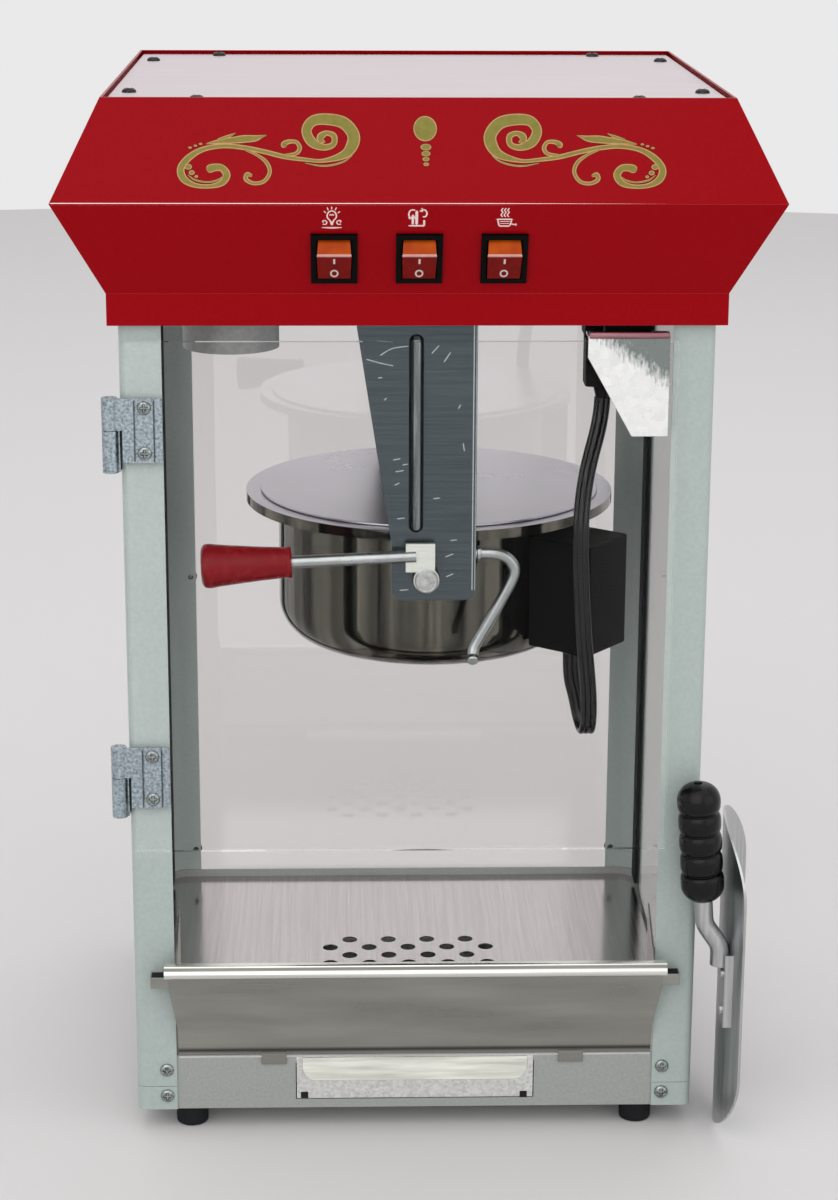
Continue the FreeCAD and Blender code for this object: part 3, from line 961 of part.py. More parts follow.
# Front guard: a leaning sheet with a rolled hem, side wings, and ears and hooks that locate it
GUARD_LOW = f"({BASE_TOP} + seat_gap)"
GUARD_TOP = f"({BASE_TOP} + seat_gap + guard_height)"
GUARD_X = f"({HALF_W} - post_face - guard_side_gap)"
GUARD_FOOT = f"(-{INNER_Y} + base_sheet)"
GUARD_HEAD = f"({GUARD_FOOT} - guard_lean)"
GUARD_FLARE = f"({GUARD_X} + guard_flare)"
leaning_sheet = plate("leaning_sheet", "YZ_Plane",
                      [(f"{GUARD_FOOT} - guard_sheet", GUARD_LOW), (GUARD_FOOT, GUARD_LOW),
                       (GUARD_HEAD, GUARD_TOP), (f"{GUARD_HEAD} - guard_sheet", GUARD_TOP)],
                      f"2 * {GUARD_FLARE}", x=f"-{GUARD_FLARE}")
FLARE_LOW, FLARE_HIGH = f"({GUARD_LOW} + flare_low)", f"({GUARD_LOW} + ear_rise)"
guard_outline = plate("guard_outline", "XZ_Plane",
                      [(f"-{GUARD_X}", GUARD_LOW), (GUARD_X, GUARD_LOW), (GUARD_X, FLARE_LOW),
                       (GUARD_FLARE, FLARE_HIGH), (GUARD_FLARE, GUARD_TOP),
                       (f"-{GUARD_FLARE}", GUARD_TOP), (f"-{GUARD_FLARE}", FLARE_HIGH),
                       (f"-{GUARD_X}", FLARE_LOW)], "guard_lean * 3", y=f"{GUARD_FOOT} + past")
guard_sheet = common("guard_sheet_form", leaning_sheet, guard_outline)
hem = rod("guard_hem_roll", "guard_hem", f"2 * {GUARD_FLARE}", f"-{GUARD_FLARE}", GUARD_HEAD, GUARD_TOP,
          "x")
wings = [plate(f"guard_wing_{side + 1}", "YZ_Plane",
               [(f"{GUARD_FOOT} - guard_sheet", GUARD_LOW), (f"{GUARD_FOOT} + wing_depth", GUARD_LOW),
                (f"{GUARD_FOOT} + wing_depth", f"{GUARD_LOW} + wing_height"), (GUARD_HEAD, GUARD_TOP)],
               "guard_sheet", x=f"-{GUARD_X}" if side < 0 else f"{GUARD_X} - guard_sheet")
         for side in (-1, 1)]
guard_ears = []
for side in (-1, 1):
    spans = (f"{side} * ({GUARD_X} - guard_hem)", f"{side} * ({HALF_W} - post_face + ear_reach)")
    guard_ears.append(block(f"guard_ear_{side + 1}", spans if side > 0 else spans[::-1],
                            (f"{FRONT} - seat_gap - ear_depth", f"{FRONT} - seat_gap"),
                            (f"{GUARD_LOW} + ear_rise", f"{GUARD_LOW} + ear_rise + ear_height")))
hooks = []
for tag, place_x in (("left", "-hook_left"), ("right", "hook_right")):
    hook_x = (f"{place_x} - hook_width / 2", f"{place_x} + hook_width / 2")
    hooks.append(block(f"hook_{tag}", hook_x,
                       (f"-{INNER_Y} - seat_gap - guard_sheet", f"-{INNER_Y} - seat_gap"),
                       (f"{GUARD_LOW} - hook_drop", f"{GUARD_LOW} + guard_sheet")))
    hooks.append(block(f"hook_bridge_{tag}", hook_x,
                       (f"-{INNER_Y} - seat_gap - guard_sheet", f"{GUARD_FOOT} - guard_sheet / 2"),
                       (GUARD_LOW, f"{GUARD_LOW} + guard_sheet")))
node("front_guard", fuse("front_guard", guard_sheet, hem, *wings, *guard_ears, *hooks))

# Crumb drawer: an open tray with a face and a rounded pull lip
tray = block("tray_outside", (f"-{DRAWER_X}", DRAWER_X), (DRAWER_FACE, DRAWER_END),
             (DRAWER_LOW, f"{DRAWER_LOW} + drawer_wall_height"))
tray_hollow = block("tray_inside", (f"-{DRAWER_X} + drawer_sheet", f"{DRAWER_X} - drawer_sheet"),
                    (f"{DRAWER_FACE} + drawer_sheet", f"{DRAWER_END} - drawer_sheet"),
                    (f"{DRAWER_LOW} + drawer_sheet", f"{DRAWER_LOW} + drawer_wall_height + past"))
face = block("drawer_face", (f"-{DRAWER_X}", DRAWER_X), (DRAWER_FACE, f"{DRAWER_FACE} + drawer_sheet"),
             (DRAWER_LOW, DRAWER_FACE_TOP))
LIP_OUT = f"({DRAWER_FACE} - lip_reach)"
LIP_LOW = f"({DRAWER_FACE_TOP} - lip_drop)"
lip = plate("drawer_lip", "YZ_Plane",
            [(DRAWER_FACE, DRAWER_FACE_TOP), (LIP_OUT, LIP_LOW), (f"{LIP_OUT} + drawer_sheet", LIP_LOW),
             (DRAWER_FACE, f"{DRAWER_FACE_TOP} - drawer_sheet * lip_drop / lip_reach")], "lip_width",
            x="-lip_width / 2")
lip_outline = block("lip_outline", ("-lip_width / 2", "lip_width / 2"),
                    (f"{LIP_OUT} - past", DRAWER_FACE), (LIP_LOW, DRAWER_FACE_TOP))
lip_rounded = rounded("lip_rounded", lip_outline, size("lip_corner"),
                      lambda e: e.BoundBox.YLength > size("past")
                      and e.BoundBox.ZMax < lip_outline.Shape.BoundBox.Center.z)
lip_round = common("drawer_lip_round", lip, lip_rounded)
node("crumb_drawer", fuse("crumb_drawer", cut("tray", tray, tray_hollow), face, lip_round))

# Scoop: a curved pan on its tip, a bent tube with a flat riveted end, and a ribbed grip
SCOOP_X = "(scoop_across + scoop_arc * cos(scoop_turn))"
SCOOP_Y = f"({FRONT} + scoop_behind - scoop_arc * sin(scoop_turn))"
SHANK_Y = f"({FRONT} - scoop_grip_radius - seat_gap)"
END_R = "(scoop_width / 2)"
arc_outside = add("Part::Cylinder", "scoop_outside", Radius="scoop_arc", Height="scoop_length",
                  Angle="2 * scoop_half_angle")
place(arc_outside, angle="180 - scoop_half_angle")
arc_inside = rod("scoop_inside", "scoop_arc - scoop_sheet", "scoop_length", 0, 0, 0)
stadium = fuse("scoop_stadium",
               block("scoop_middle", ("-scoop_arc - past", 0), (f"-{END_R}", END_R),
                     (END_R, f"scoop_length - {END_R}")),
               rod("scoop_low_end", END_R, "scoop_arc + past", "-scoop_arc - past", 0, END_R, "x"),
               rod("scoop_high_end", END_R, "scoop_arc + past", "-scoop_arc - past", 0,
                   f"scoop_length - {END_R}", "x"))
scoop_curve = common("scoop_curve", cut("scoop_arc_sheet", arc_outside, arc_inside), stadium)
node("scoop_pan",
     place(group("scoop_pan", [scoop_curve]), SCOOP_X, SCOOP_Y, 0, (0, 0, 1), "-scoop_turn"))
PAN_FACE = f"({SCOOP_X} - sqrt(scoop_arc ^ 2 - ({SHANK_Y} - {SCOOP_Y}) ^ 2))"
BRACKET_X = f"({PAN_FACE} - bracket_thick)"
bracket_block = block("bracket_block", (BRACKET_X, f"{PAN_FACE} + bracket_width / 2"),
                      (f"{SHANK_Y} - bracket_width / 2", f"{SHANK_Y} + bracket_width / 2"),
                      ("bracket_low", "bracket_high"))
bracket = cut("bracket", bracket_block,
              rod("bracket_clear", "scoop_arc", "scoop_length", SCOOP_X, SCOOP_Y, 0))
rivets = [rod(f"rivet_{level}", "rivet_radius", "rivet_height", f"{BRACKET_X} - rivet_height",
              SHANK_Y, level, "x") for level in ("rivet_low", "rivet_high")]
node("scoop_rivets", group("scoop_rivets", rivets))
doc.recompute()
shank_y = bracket_block.Shape.BoundBox.Center.y
bracket_x = bracket_block.Shape.BoundBox.XMin
grip_top = Vector(size("grip_top_x"), shank_y, size("grip_top_z"))
grip_low = Vector(size("grip_low_x"), shank_y, size("grip_low_z"))
grip_run = (grip_top - grip_low).normalize()
bend_x = bracket_x - size("shank_radius") + size("bracket_thick")
shank_points = [Vector(bend_x, shank_y, size("bracket_high") - size("shank_lap")),
                Vector(bend_x, shank_y, size("bracket_high") + size("shank_lap") / 2),
                grip_low - grip_run * size("scoop_bend"),
                grip_low + grip_run * size("shank_depth")]
shank_tube = bent_rod("shank_tube", shank_points, size("shank_radius"), [size("scoop_bend")] * 2)
shank_form = fuse("shank_form", shank_tube, bracket)
node("scoop_shank",
     cut("scoop_shank", shank_form,
         rod("shank_clear", "scoop_arc", "scoop_length", SCOOP_X, SCOOP_Y, 0)))
RIB = "(scoop_grip_length / scoop_grip_ribs)"
profile = [("shank_radius", 0)]
for rib in range(int(size("scoop_grip_ribs"))):
    profile += [("scoop_grip_radius - groove_depth", f"{rib} * {RIB}"),
                ("scoop_grip_radius", f"{rib} * {RIB} + groove_depth"),
                ("scoop_grip_radius", f"{rib + 1} * {RIB} - groove_depth")]
profile += [("scoop_grip_radius - groove_depth", "scoop_grip_length"), (0, "scoop_grip_length"),
            (0, "shank_depth"), ("shank_radius", "shank_depth")]
grip_body = turned("scoop_grip_form", profile)
grip_lean = math.degrees(math.atan2(grip_run.x, grip_run.z))
node("scoop_grip",
     place(group("scoop_grip", [grip_body]), "grip_low_x", SHANK_Y, "grip_low_z", (0, 1, 0),
           grip_lean))

doc.recompute()
bad = [o.Name for o in doc.Objects if "Invalid" in o.State or "Error" in o.State]
bad += [name for name, obj in nodes.items() if obj.Shape.isNull() or not obj.Shape.isValid()]
if bad:
    raise SystemExit("failed: " + ", ".join(bad))
os.makedirs("parts", exist_ok=True)
for name, obj in nodes.items():
    obj.Shape.exportStep(f"parts/{name}.step")
print(len(nodes), "nodes")
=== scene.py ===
"""Countertop popcorn maker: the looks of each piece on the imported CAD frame.

Everything is in the CAD's frame: X to the right, Y to the back, Z up, the table at Z = 0.
Lengths in this file are millimetres, and each mesh is scaled to metres when it is made.
"""

import bmesh
import bpy
import numpy as np
from mathutils import Matrix


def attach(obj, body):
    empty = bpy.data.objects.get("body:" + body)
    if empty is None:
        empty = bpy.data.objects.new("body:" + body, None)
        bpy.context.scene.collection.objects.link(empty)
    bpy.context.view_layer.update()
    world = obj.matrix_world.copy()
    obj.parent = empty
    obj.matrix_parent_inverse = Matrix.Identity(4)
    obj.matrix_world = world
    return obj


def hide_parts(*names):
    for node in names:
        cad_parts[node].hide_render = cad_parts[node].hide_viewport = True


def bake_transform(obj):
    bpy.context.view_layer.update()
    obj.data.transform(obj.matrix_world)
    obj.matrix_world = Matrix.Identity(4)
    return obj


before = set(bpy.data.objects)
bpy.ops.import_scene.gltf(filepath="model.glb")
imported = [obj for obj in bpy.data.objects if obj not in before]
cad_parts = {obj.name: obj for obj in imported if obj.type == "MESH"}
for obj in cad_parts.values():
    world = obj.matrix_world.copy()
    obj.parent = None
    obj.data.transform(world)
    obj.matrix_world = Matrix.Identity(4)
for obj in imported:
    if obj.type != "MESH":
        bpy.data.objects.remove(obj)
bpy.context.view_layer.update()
scene = bpy.context.scene
scene.view_settings.view_transform = "Standard"

# Studio: a pale round floor under an even white sky, with a large soft key at the front left,
# a weaker fill at the right, and soft lights overhead and behind.
MM = 0.001


def linear(code):
    """An sRGB hex colour as linear red, green and blue, with an alpha of 1."""
    part = np.array([int(code[i:i + 2], 16) for i in (1, 3, 5)]) / 255
    part = np.where(part <= 0.04045, part / 12.92, ((part + 0.055) / 1.055) ** 2.4)
    return (*part.tolist(), 1.0)


def add_node(tree, kind, sockets=None, **settings):
    """Add a shader node, set its properties, then link or set its input sockets."""
    new = tree.nodes.new("ShaderNode" + kind)
    for name, value in settings.items():
        setattr(new, name, value)
    for name, value in (sockets or {}).items():
        if isinstance(value, bpy.types.NodeSocket):
            tree.links.new(value, new.inputs[name])
        else:
            new.inputs[name].default_value = value
    return new


sky = bpy.data.worlds.new("studio_sky")
scene.world = sky
sky.use_nodes = True
tree = sky.node_tree
rays = add_node(tree, "LightPath").outputs
seen = add_node(tree, "Math", {0: rays["Is Camera Ray"], 1: rays["Is Glossy Ray"]}, operation="MAXIMUM")
seen = add_node(tree, "Math", {0: seen.outputs[0], 1: rays["Is Transmission Ray"]}, operation="MAXIMUM")
level = add_node(tree, "MapRange", {"Value": seen.outputs[0], "To Min": 0.68, "To Max": 0.82})
backdrop = tree.nodes["Background"]
backdrop.inputs["Color"].default_value = linear("#FFFFFF")
tree.links.new(level.outputs["Result"], backdrop.inputs["Strength"])

around = np.linspace(2 * np.pi, 0, 97)
floor_grid = np.stack([np.outer([0, 4000], np.cos(around)), np.outer([0, 4000], np.sin(around)),
                       np.full((2, 97), -0.2)], -1)


def sheet_mesh(name, grids, closed=True):
    """One mesh from grids of points, rows x columns x 3 in millimetres: each grid is a sheet of four-sided
    faces. Points that meet are merged, which closes seams and poles."""
    faces, start = [], 0
    for grid in grids:
        rows, columns = grid.shape[:2]
        number = start + np.arange(rows * columns).reshape(rows, columns)
        corners = (number[:-1, :-1], number[:-1, 1:], number[1:, 1:], number[1:, :-1])
        faces.append(np.stack(corners, -1).reshape(-1, 4))
        start += rows * columns
    points = np.concatenate([grid.reshape(-1, 3) for grid in grids]) * MM
    mesh = bpy.data.meshes.new(name)
    mesh.from_pydata(points.tolist(), [], np.concatenate(faces).tolist())
    work = bmesh.new()
    work.from_mesh(mesh)
    bmesh.ops.remove_doubles(work, verts=work.verts, dist=1e-6)
    if closed:
        bmesh.ops.recalc_face_normals(work, faces=work.faces)
    work.to_mesh(mesh)
    work.free()
    mesh.shade_smooth()
    mesh.set_sharp_from_angle(angle=0.6)
    return mesh


floor = bpy.data.objects.new("studio_floor", sheet_mesh("studio_floor", [floor_grid], closed=False))
scene.collection.objects.link(floor)
pale = bpy.data.materials.new("studio_floor")
pale.use_nodes = True
pale.node_tree.nodes["Principled BSDF"].inputs["Base Color"].default_value = linear("#E3E1E1")
pale.node_tree.nodes["Principled BSDF"].inputs["Roughness"].default_value = 0.9
floor.data.materials.append(pale)

lamps = {"key": ((-0.9, -2.4, 1.8), 3.0, 28), "fill": ((2.3, -1.9, 1.2), 2.6, 12),
         "overhead": ((0.2, -0.4, 2.7), 3.0, 11), "behind": ((0.4, 1.9, 2.6), 2.6, 9)}
for name, (spot, width, power) in lamps.items():
    light = bpy.data.lights.new(name, "AREA")
    light.size = width
    light.energy = power
    lamp = bpy.data.objects.new(name, light)
    aim = np.array([0, 0, 0.35]) - spot
    lamp.location = spot
    lamp.rotation_euler = (np.arctan2(np.hypot(aim[0], aim[1]), -aim[2]), 0, np.arctan2(-aim[0], aim[1]))
    scene.collection.objects.link(lamp)

# Camera: where the photograph was taken from, fitted to the object's straight edges.
# Yaw, pitch and roll are in radians, and the focal length is in the photograph's pixels.
YAW, PITCH, ROLL = 0.0295, 0.2786, 0.0044
PLACE = (-43.03, -1651.55, 763.52)
FOCAL, PHOTO_HEIGHT, SENSOR = 2714.3, 1200, 36
ahead = np.array([np.sin(YAW) * np.cos(PITCH), np.cos(YAW) * np.cos(PITCH), -np.sin(PITCH)])
right = np.array([np.cos(YAW), -np.sin(YAW), 0])
upward = np.cross(right, ahead)
side = right * np.cos(ROLL) + upward * np.sin(ROLL)
upward = upward * np.cos(ROLL) - right * np.sin(ROLL)
lens = bpy.data.cameras.new("camera")
lens.sensor_width = SENSOR
lens.lens = FOCAL / PHOTO_HEIGHT * SENSOR
camera = bpy.data.objects.new("camera", lens)
turn = np.eye(4)
turn[:3, 0], turn[:3, 1], turn[:3, 2] = side, upward, -ahead
turn[:3, 3] = np.array(PLACE) * MM
camera.matrix_world = Matrix(turn.tolist())
scene.collection.objects.link(camera)
scene.camera = camera


# Feet: four turned bumpers of black rubber, each with a sunk washer, screwed up into the base.
# Moulded rubber is matt, and scuffs make it unevenly grey.
def finish(name, dark, light, grain, rough, metallic=0.0, relief=0.0, **sockets):
    """A material over one noise: its colour runs from dark to light and its roughness between two values.
    grain is the noise's size in mm along X, Y and Z, relief its height in mm, sockets the shader's own."""
    material = bpy.data.materials.new(name)
    material.use_nodes = True
    tree = material.node_tree
    shader = tree.nodes["Principled BSDF"]
    coords = add_node(tree, "TexCoord")
    scaled = add_node(tree, "Mapping", {"Vector": coords.outputs["Object"],
                                        "Scale": [1 / (g * MM) for g in grain]})
    noise = add_node(tree, "TexNoise", {"Vector": scaled.outputs["Vector"], "Scale": 1, "Detail": 4})
    spread = add_node(tree, "MapRange", {"Value": noise.outputs["Fac"], "From Min": 0.3, "From Max": 0.7})
    tint = add_node(tree, "Mix", {0: spread.outputs["Result"], 6: linear(dark), 7: linear(light)},
                    data_type="RGBA")
    tree.links.new(tint.outputs[2], shader.inputs["Base Color"])
    shine = add_node(tree, "MapRange", {"Value": spread.outputs["Result"], "To Min": rough[0],
                                        "To Max": rough[1]})
    tree.links.new(shine.outputs["Result"], shader.inputs["Roughness"])
    if relief:
        bump = add_node(tree, "Bump", {"Height": noise.outputs["Fac"], "Distance": relief * MM,
                                       "Strength": 1.0})
        tree.links.new(bump.outputs["Normal"], shader.inputs["Normal"])
    shader.inputs["Metallic"].default_value = metallic
    for socket, value in sockets.items():
        shader.inputs[socket.replace("_", " ")].default_value = value
    return material


def ride(name, mesh, material, body, slot, *replaced):
    """Put a mesh in the scene as a piece that moves with a CAD body and stands for CAD nodes."""
    made = bpy.data.objects.new(name, mesh)
    scene.collection.objects.link(made)
    mesh.materials.clear()
    mesh.materials.append(material)
    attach(made, body)
    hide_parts(*replaced)
    return made


def piece(name, grids, material, body, slot, *replaced, closed=True):
    """Make a mesh from grids of points and put it in the scene on a CAD body."""
    return ride(name, sheet_mesh(name, grids, closed), material, body, slot, *replaced)


def lathe(profile, steps=48):
    """Carry a profile of (radius, height) round the Z axis."""
    radius, height = np.array(profile, float).T
    angle = np.linspace(0, 2 * np.pi, steps + 1)
    return np.stack([np.outer(radius, np.cos(angle)), np.outer(radius, np.sin(angle)),
                     np.repeat(height[:, None], steps + 1, 1)], -1)


black_rubber = finish("moulded_black_rubber", "#101114", "#1C1D20", (6, 6, 6), (0.62, 0.8), relief=0.08,
                      Specular_IOR_Level=0.25)
foot = lathe([(0, 2.6), (3, 2.6), (3, 0.5), (3.5, 0), (8.4, 0), (9.3, 0.4), (9.6, 1.3), (10, 13.6),
              (9.7, 14.4), (0, 14.5)])
feet = [foot + (x, y, 0) for x in (-135.5, 135.5) for y in (-137, 137)]
piece("rubber_feet", feet, black_rubber, "cabinet", "black_rubber", "feet")


# Base: a folded steel tray in grey powder coat that carries the floor and the drawer.
# Powder coat has a fine orange-peel skin and rounds every folded edge.
def eased(node, name, width, material, body, slot, angle=0.5):
    """Copy a CAD node, its triangles merged into flat faces and its edges rounded by a width in mm."""
    work = bmesh.new()
    work.from_mesh(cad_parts[node].data)
    bmesh.ops.remove_doubles(work, verts=work.verts, dist=1e-6)
    bmesh.ops.dissolve_limit(work, angle_limit=0.004, verts=work.verts, edges=work.edges)
    work.verts.index_update()
    mesh = bpy.data.meshes.new(name)
    mesh.from_pydata([v.co[:] for v in work.verts], [], [[v.index for v in f.verts] for f in work.faces])
    work.free()
    mesh.shade_smooth()
    made = ride(name, mesh, material, body, slot, node)
    ease = made.modifiers.new("ease", "BEVEL")
    ease.width = width * MM
    ease.segments = 2
    ease.limit_method = "ANGLE"
    ease.angle_limit = angle
    ease.harden_normals = True
    return made


base_paint = finish("grey_powder_coat", "#969997", "#A3A5A3", (1.6, 1.6, 1.6), (0.38, 0.5), relief=0.05)
eased("base_pan", "base_tray", 0.5, base_paint, "cabinet", "base_paint")


def strip(left, right, low, high, y):
    """A flat strip in a plane of constant y that faces the front."""
    return np.array([[(left, y, low), (right, y, low)], [(left, y, high), (right, y, high)]])


# The two relief cuts beside the drawer opening are dark patches of painted shade, in place of holes.
relief_cut_shade = [strip(x, x + 4.4, z, z + 4.2, -151.9) for x, z in ((-69, 20.7), (63.6, 20.0))]
piece("base_relief_cut_shade", relief_cut_shade, black_rubber, "cabinet", "base_paint", closed=False)
# A painted highlight: a bright metal strip along the front edge.
edge_highlight_finish = finish("painted_bright_edge_highlight", "#CFCFC9", "#E6E6E2", (40, 2, 2), (0.2, 0.3), 1.0)
edge_line = strip(-142, 142, 47.9, 49, -151.87)
piece("base_edge_highlight", [edge_line], edge_highlight_finish, "cabinet", "base_paint", closed=False)

# Posts and corner shoes: four folded steel angles, and four shoes screwed over their feet.
# Both are sprayed in pale grey-green satin paint, smooth with a soft sheen.
post_paint = finish("pale_satin_paint", "#A6B2AE", "#AFBAB6", (2, 2, 2), (0.36, 0.46), relief=0.02)
eased("cabinet_posts", "post_angles", 0.5, post_paint, "cabinet", "post_paint")
eased("corner_shoes", "shoe_angles", 0.4, post_paint, "cabinet", "post_paint")


# Frame screws: zinc pan heads with a cross recess, two in each front shoe and three down each back edge.
# Bright zinc plate is pale, a little blue, and uneven.
def pan_head(radius, height):
    """A screw head: height * (1 - (r / radius) ^ 3) ^ 0.5 over a disc, less a cross recess with
    sloped sides."""
    reach = np.linspace(0, 1, 25)[:, None] * np.ones(49)
    angle = np.linspace(2 * np.pi, 0, 49)
    x, y = reach * np.cos(angle) * radius, reach * np.sin(angle) * radius
    within = [np.clip(1.9 - np.abs(part) / (radius * 0.12), 0, 1) for part in (x, y)]
    along = [np.clip(4.5 - np.abs(part) / (radius * 0.14), 0, 1) for part in (y, x)]
    recess = np.maximum(within[0] * along[0], within[1] * along[1])
    dome = height * np.sqrt(1 - reach ** 3)
    return np.stack([x, y, dome - 0.6 * height * recess], -1)


def seat(grid, spot, across, out):
    """Set a shape that stands on local Z onto a face: its X along across and its Z along out."""
    across, out = np.array(across, float), np.array(out, float)
    out /= np.linalg.norm(out)
    axes = np.stack([across, np.cross(out, across), out])
    return grid @ axes + np.array(spot, float)


zinc = finish("bright_zinc_plate", "#AEB1B0", "#D2D4D2", (3, 3, 3), (0.3, 0.45), 1.0, relief=0.02)
screw_zinc = finish("worn_zinc_screw", "#6C7374", "#B4B9B8", (1.6, 1.6, 1.6), (0.16, 0.3), 1.0)
frame_heads = [seat(pan_head(4.2, 2), (x, -153, z), (1, 0, 0), (0, -1, 0))
               for x in (-149.5, 149.5) for z in (23.6, 40.6)]
frame_heads += [seat(pan_head(4.2, 2), (x, 156, z), (-1, 0, 0), (0, 1, 0))
                for x in (-147, 147) for z in (64.5, 264.5, 464.5)]
piece("frame_screw_heads", frame_heads, screw_zinc, "cabinet", "zinc", "frame_screws", closed=False)

# Floor: a sheet of stainless steel with punched crumb holes, brushed front to back.
# The rubbing lines are drawn about 2 mm wide, coarser than real ones, so that they show.
stainless = finish("brushed_stainless", "#C3BDBD", "#CEC8C8", (1.6, 90, 30), (0.12, 0.2), 1.0)


def dress(node, material):
    """Give a CAD node that keeps its own shape a finish."""
    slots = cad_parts[node].data.materials
    slots.clear()
    slots.append(material)


dress("floor_plate", stainless)

# Side panes and back: clear glass, the sides on black rubber strips and the back screwed to the rear posts.
# The glass is almost colourless. At the sides and the door its IOR is lowered, so that the pale studio
# doesn't veil the inside, and at the back it is a little over glass's own, so that the lids show.
clear_pane = bpy.data.materials.new("clear_float_glass")
clear_pane.use_nodes = True
glass = clear_pane.node_tree.nodes["Principled BSDF"].inputs
glass["Base Color"].default_value = linear("#FCFBFB")
glass["Transmission Weight"].default_value = 1.0
glass["Roughness"].default_value = 0.0
glass["IOR"].default_value = 1.12
back_pane = clear_pane.copy()
back_pane.name = "clear_back_glass"
back_pane.node_tree.nodes["Principled BSDF"].inputs["IOR"].default_value = 1.6
back_pane.node_tree.nodes["Principled BSDF"].inputs["Base Color"].default_value = linear("#F3F1F1")
for pane, material in (("side_glass", clear_pane), ("back_panel", back_pane)):
    dress(pane, material)
    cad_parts[pane].visible_shadow = False
dress("glass_seals", black_rubber)


# Ceiling: a pressed tray of galvanised sheet that closes the canopy from below and carries the works.
# Hot-dip zinc freezes in flat crystals 6 to 12 mm across, each a slightly different grey.
def spangled(name, dark, light, size, rough):
    """Galvanised sheet: each zinc crystal, a ragged cell of about size mm, has its own grey and gloss."""
    material = finish(name, dark, light, (30, 30, 30), rough, 1.0)
    tree = material.node_tree
    shader = tree.nodes["Principled BSDF"]
    coords = add_node(tree, "TexCoord")
    ragged = add_node(tree, "TexNoise", {"Vector": coords.outputs["Object"], "Scale": 2.5 / (size * MM)})
    moved = add_node(tree, "VectorMath", {0: ragged.outputs["Color"], 1: (size * MM,) * 3},
                     operation="MULTIPLY")
    moved = add_node(tree, "VectorMath", {0: moved.outputs[0], 1: coords.outputs["Object"]}, operation="ADD")
    cells = add_node(tree, "TexVoronoi", {"Vector": moved.outputs[0], "Scale": 1 / (size * MM)})
    split = add_node(tree, "SeparateColor", {"Color": cells.outputs["Color"]})
    tint = add_node(tree, "Mix", {0: split.outputs["Red"], 6: linear(dark), 7: linear(light)},
                    data_type="RGBA")
    tree.links.new(tint.outputs[2], shader.inputs["Base Color"])
    gloss = add_node(tree, "MapRange", {"Value": split.outputs["Green"], "To Min": rough[0],
                                        "To Max": rough[1]})
    tree.links.new(gloss.outputs["Result"], shader.inputs["Roughness"])
    return material


ceiling_zinc = spangled("galvanised_ceiling_sheet", "#B4B2AF", "#C0BEBB", 9, (0.3, 0.42))
dress("ceiling_pan", ceiling_zinc)

# Canopy: one folded steel sheet, with a skirt that closes over the posts' heads.
# It has a gloss red powder coat, deep and wet-looking, with a faint orange-peel skin.
red_paint = finish("red_gloss_powder_coat", "#92040F", "#980611", (2.4, 2.4, 2.4), (0.2, 0.27), relief=0.01,
                   Specular_IOR_Level=0.05)
canopy = eased("canopy_shell", "canopy_sheet", 1.2, red_paint, "cabinet", "red_paint", angle=0.3)
# The rounded folds have a glassier coat and are painted a paler red as a highlight, so that they show as
# lines.
fold_highlight_red = finish("red_gloss_painted_fold_highlight", "#B2323A", "#BC3B42", (40, 4, 4), (0.2, 0.3), 0.35,
                  Specular_IOR_Level=1.0, Coat_Weight=1.0, Coat_Roughness=0.12)
canopy.data.materials.append(fold_highlight_red)
canopy.modifiers["ease"].material = 1
# A painted highlight: a white strip laid round the front fold, narrower to the right.
x = np.linspace(199.3, -199.3, 60)[:, None]
angle = (1 - 0.7 * np.clip((x - 40) / 160, 0, 1)) * np.radians(np.linspace(-9, 13, 9))
FOLD_Y, FOLD_Z, FOLD_RADIUS = -182.82, 566.02, 2.53
fold_strip = np.stack([x + 0 * angle, FOLD_Y - FOLD_RADIUS * np.cos(angle),
                       FOLD_Z + FOLD_RADIUS * np.sin(angle)], -1)
fold_highlight_strip_finish = finish("painted_white_fold_highlight", "#F0D0CE", "#FDF2F1", (60, 3, 3), (0.16, 0.26), 1.0)
piece("canopy_fold_highlight", [fold_strip], fold_highlight_strip_finish, "cabinet", "red_paint", closed=False)

# Gold scrolls: two mirrored flourishes and a middle drop, screen-printed on the upper front panel
# in olive gold with a paler gold outline and a dark red edge.
STEM = [(-51.2, 35.0, 0.5), (-53.6, 36.2, 1.7), (-53.4, 38.5, 2.1), (-50.4, 40.2, 1.5), (-46.5, 38.6, 1.66),
        (-46.8, 33.9, 1.66), (-52.0, 32.2, 1.93), (-58.4, 35.1, 2.76), (-61.3, 41.6, 2.76),
        (-57.8, 47.1, 3.04), (-50.2, 48.1, 3.32), (-41.2, 46.0, 3.46), (-36.0, 39.4, 3.45),
        (-36.8, 32.9, 3.31), (-41.4, 27.8, 2.4), (-52.3, 24.6, 1.15), (-62.0, 25.2, 1.15),
        (-73.0, 26.8, 1.38), (-84.0, 29.6, 1.38), (-95.0, 31.9, 1.38), (-106.1, 32.9, 1.38),
        (-117.1, 31.0, 1.51), (-125.0, 26.1, 1.92), (-129.1, 19.9, 2.06), (-127.3, 14.1, 2.06),
        (-121.3, 10.7, 1.4), (-113.5, 10.1, 1.25), (-107.0, 12.0, 1.8), (-104.4, 16.4, 2.1),
        (-106.9, 20.3, 2.0), (-111.2, 20.7, 2.2), (-115.2, 19.2, 2.7)]
CURL = [(-73.3, 27.6, 0.69), (-66.9, 28.7, 1.1), (-65.0, 31.9, 1.24), (-66.9, 35.1, 1.1),
        (-70.9, 35.3, 1.3), (-73.5, 33.8, 1.7), (-72.6, 32.2, 1.3)]
LOW_CURL = [(-95.0, 31.0, 0.55), (-88.1, 27.8, 0.83), (-82.9, 23.5, 1.1), (-81.2, 18.0, 1.1),
            (-84.3, 12.9, 1.1), (-89.8, 11.8, 1.1), (-93.9, 14.0, 1.24), (-93.3, 16.9, 1.24),
            (-90.6, 15.9, 0.82)]
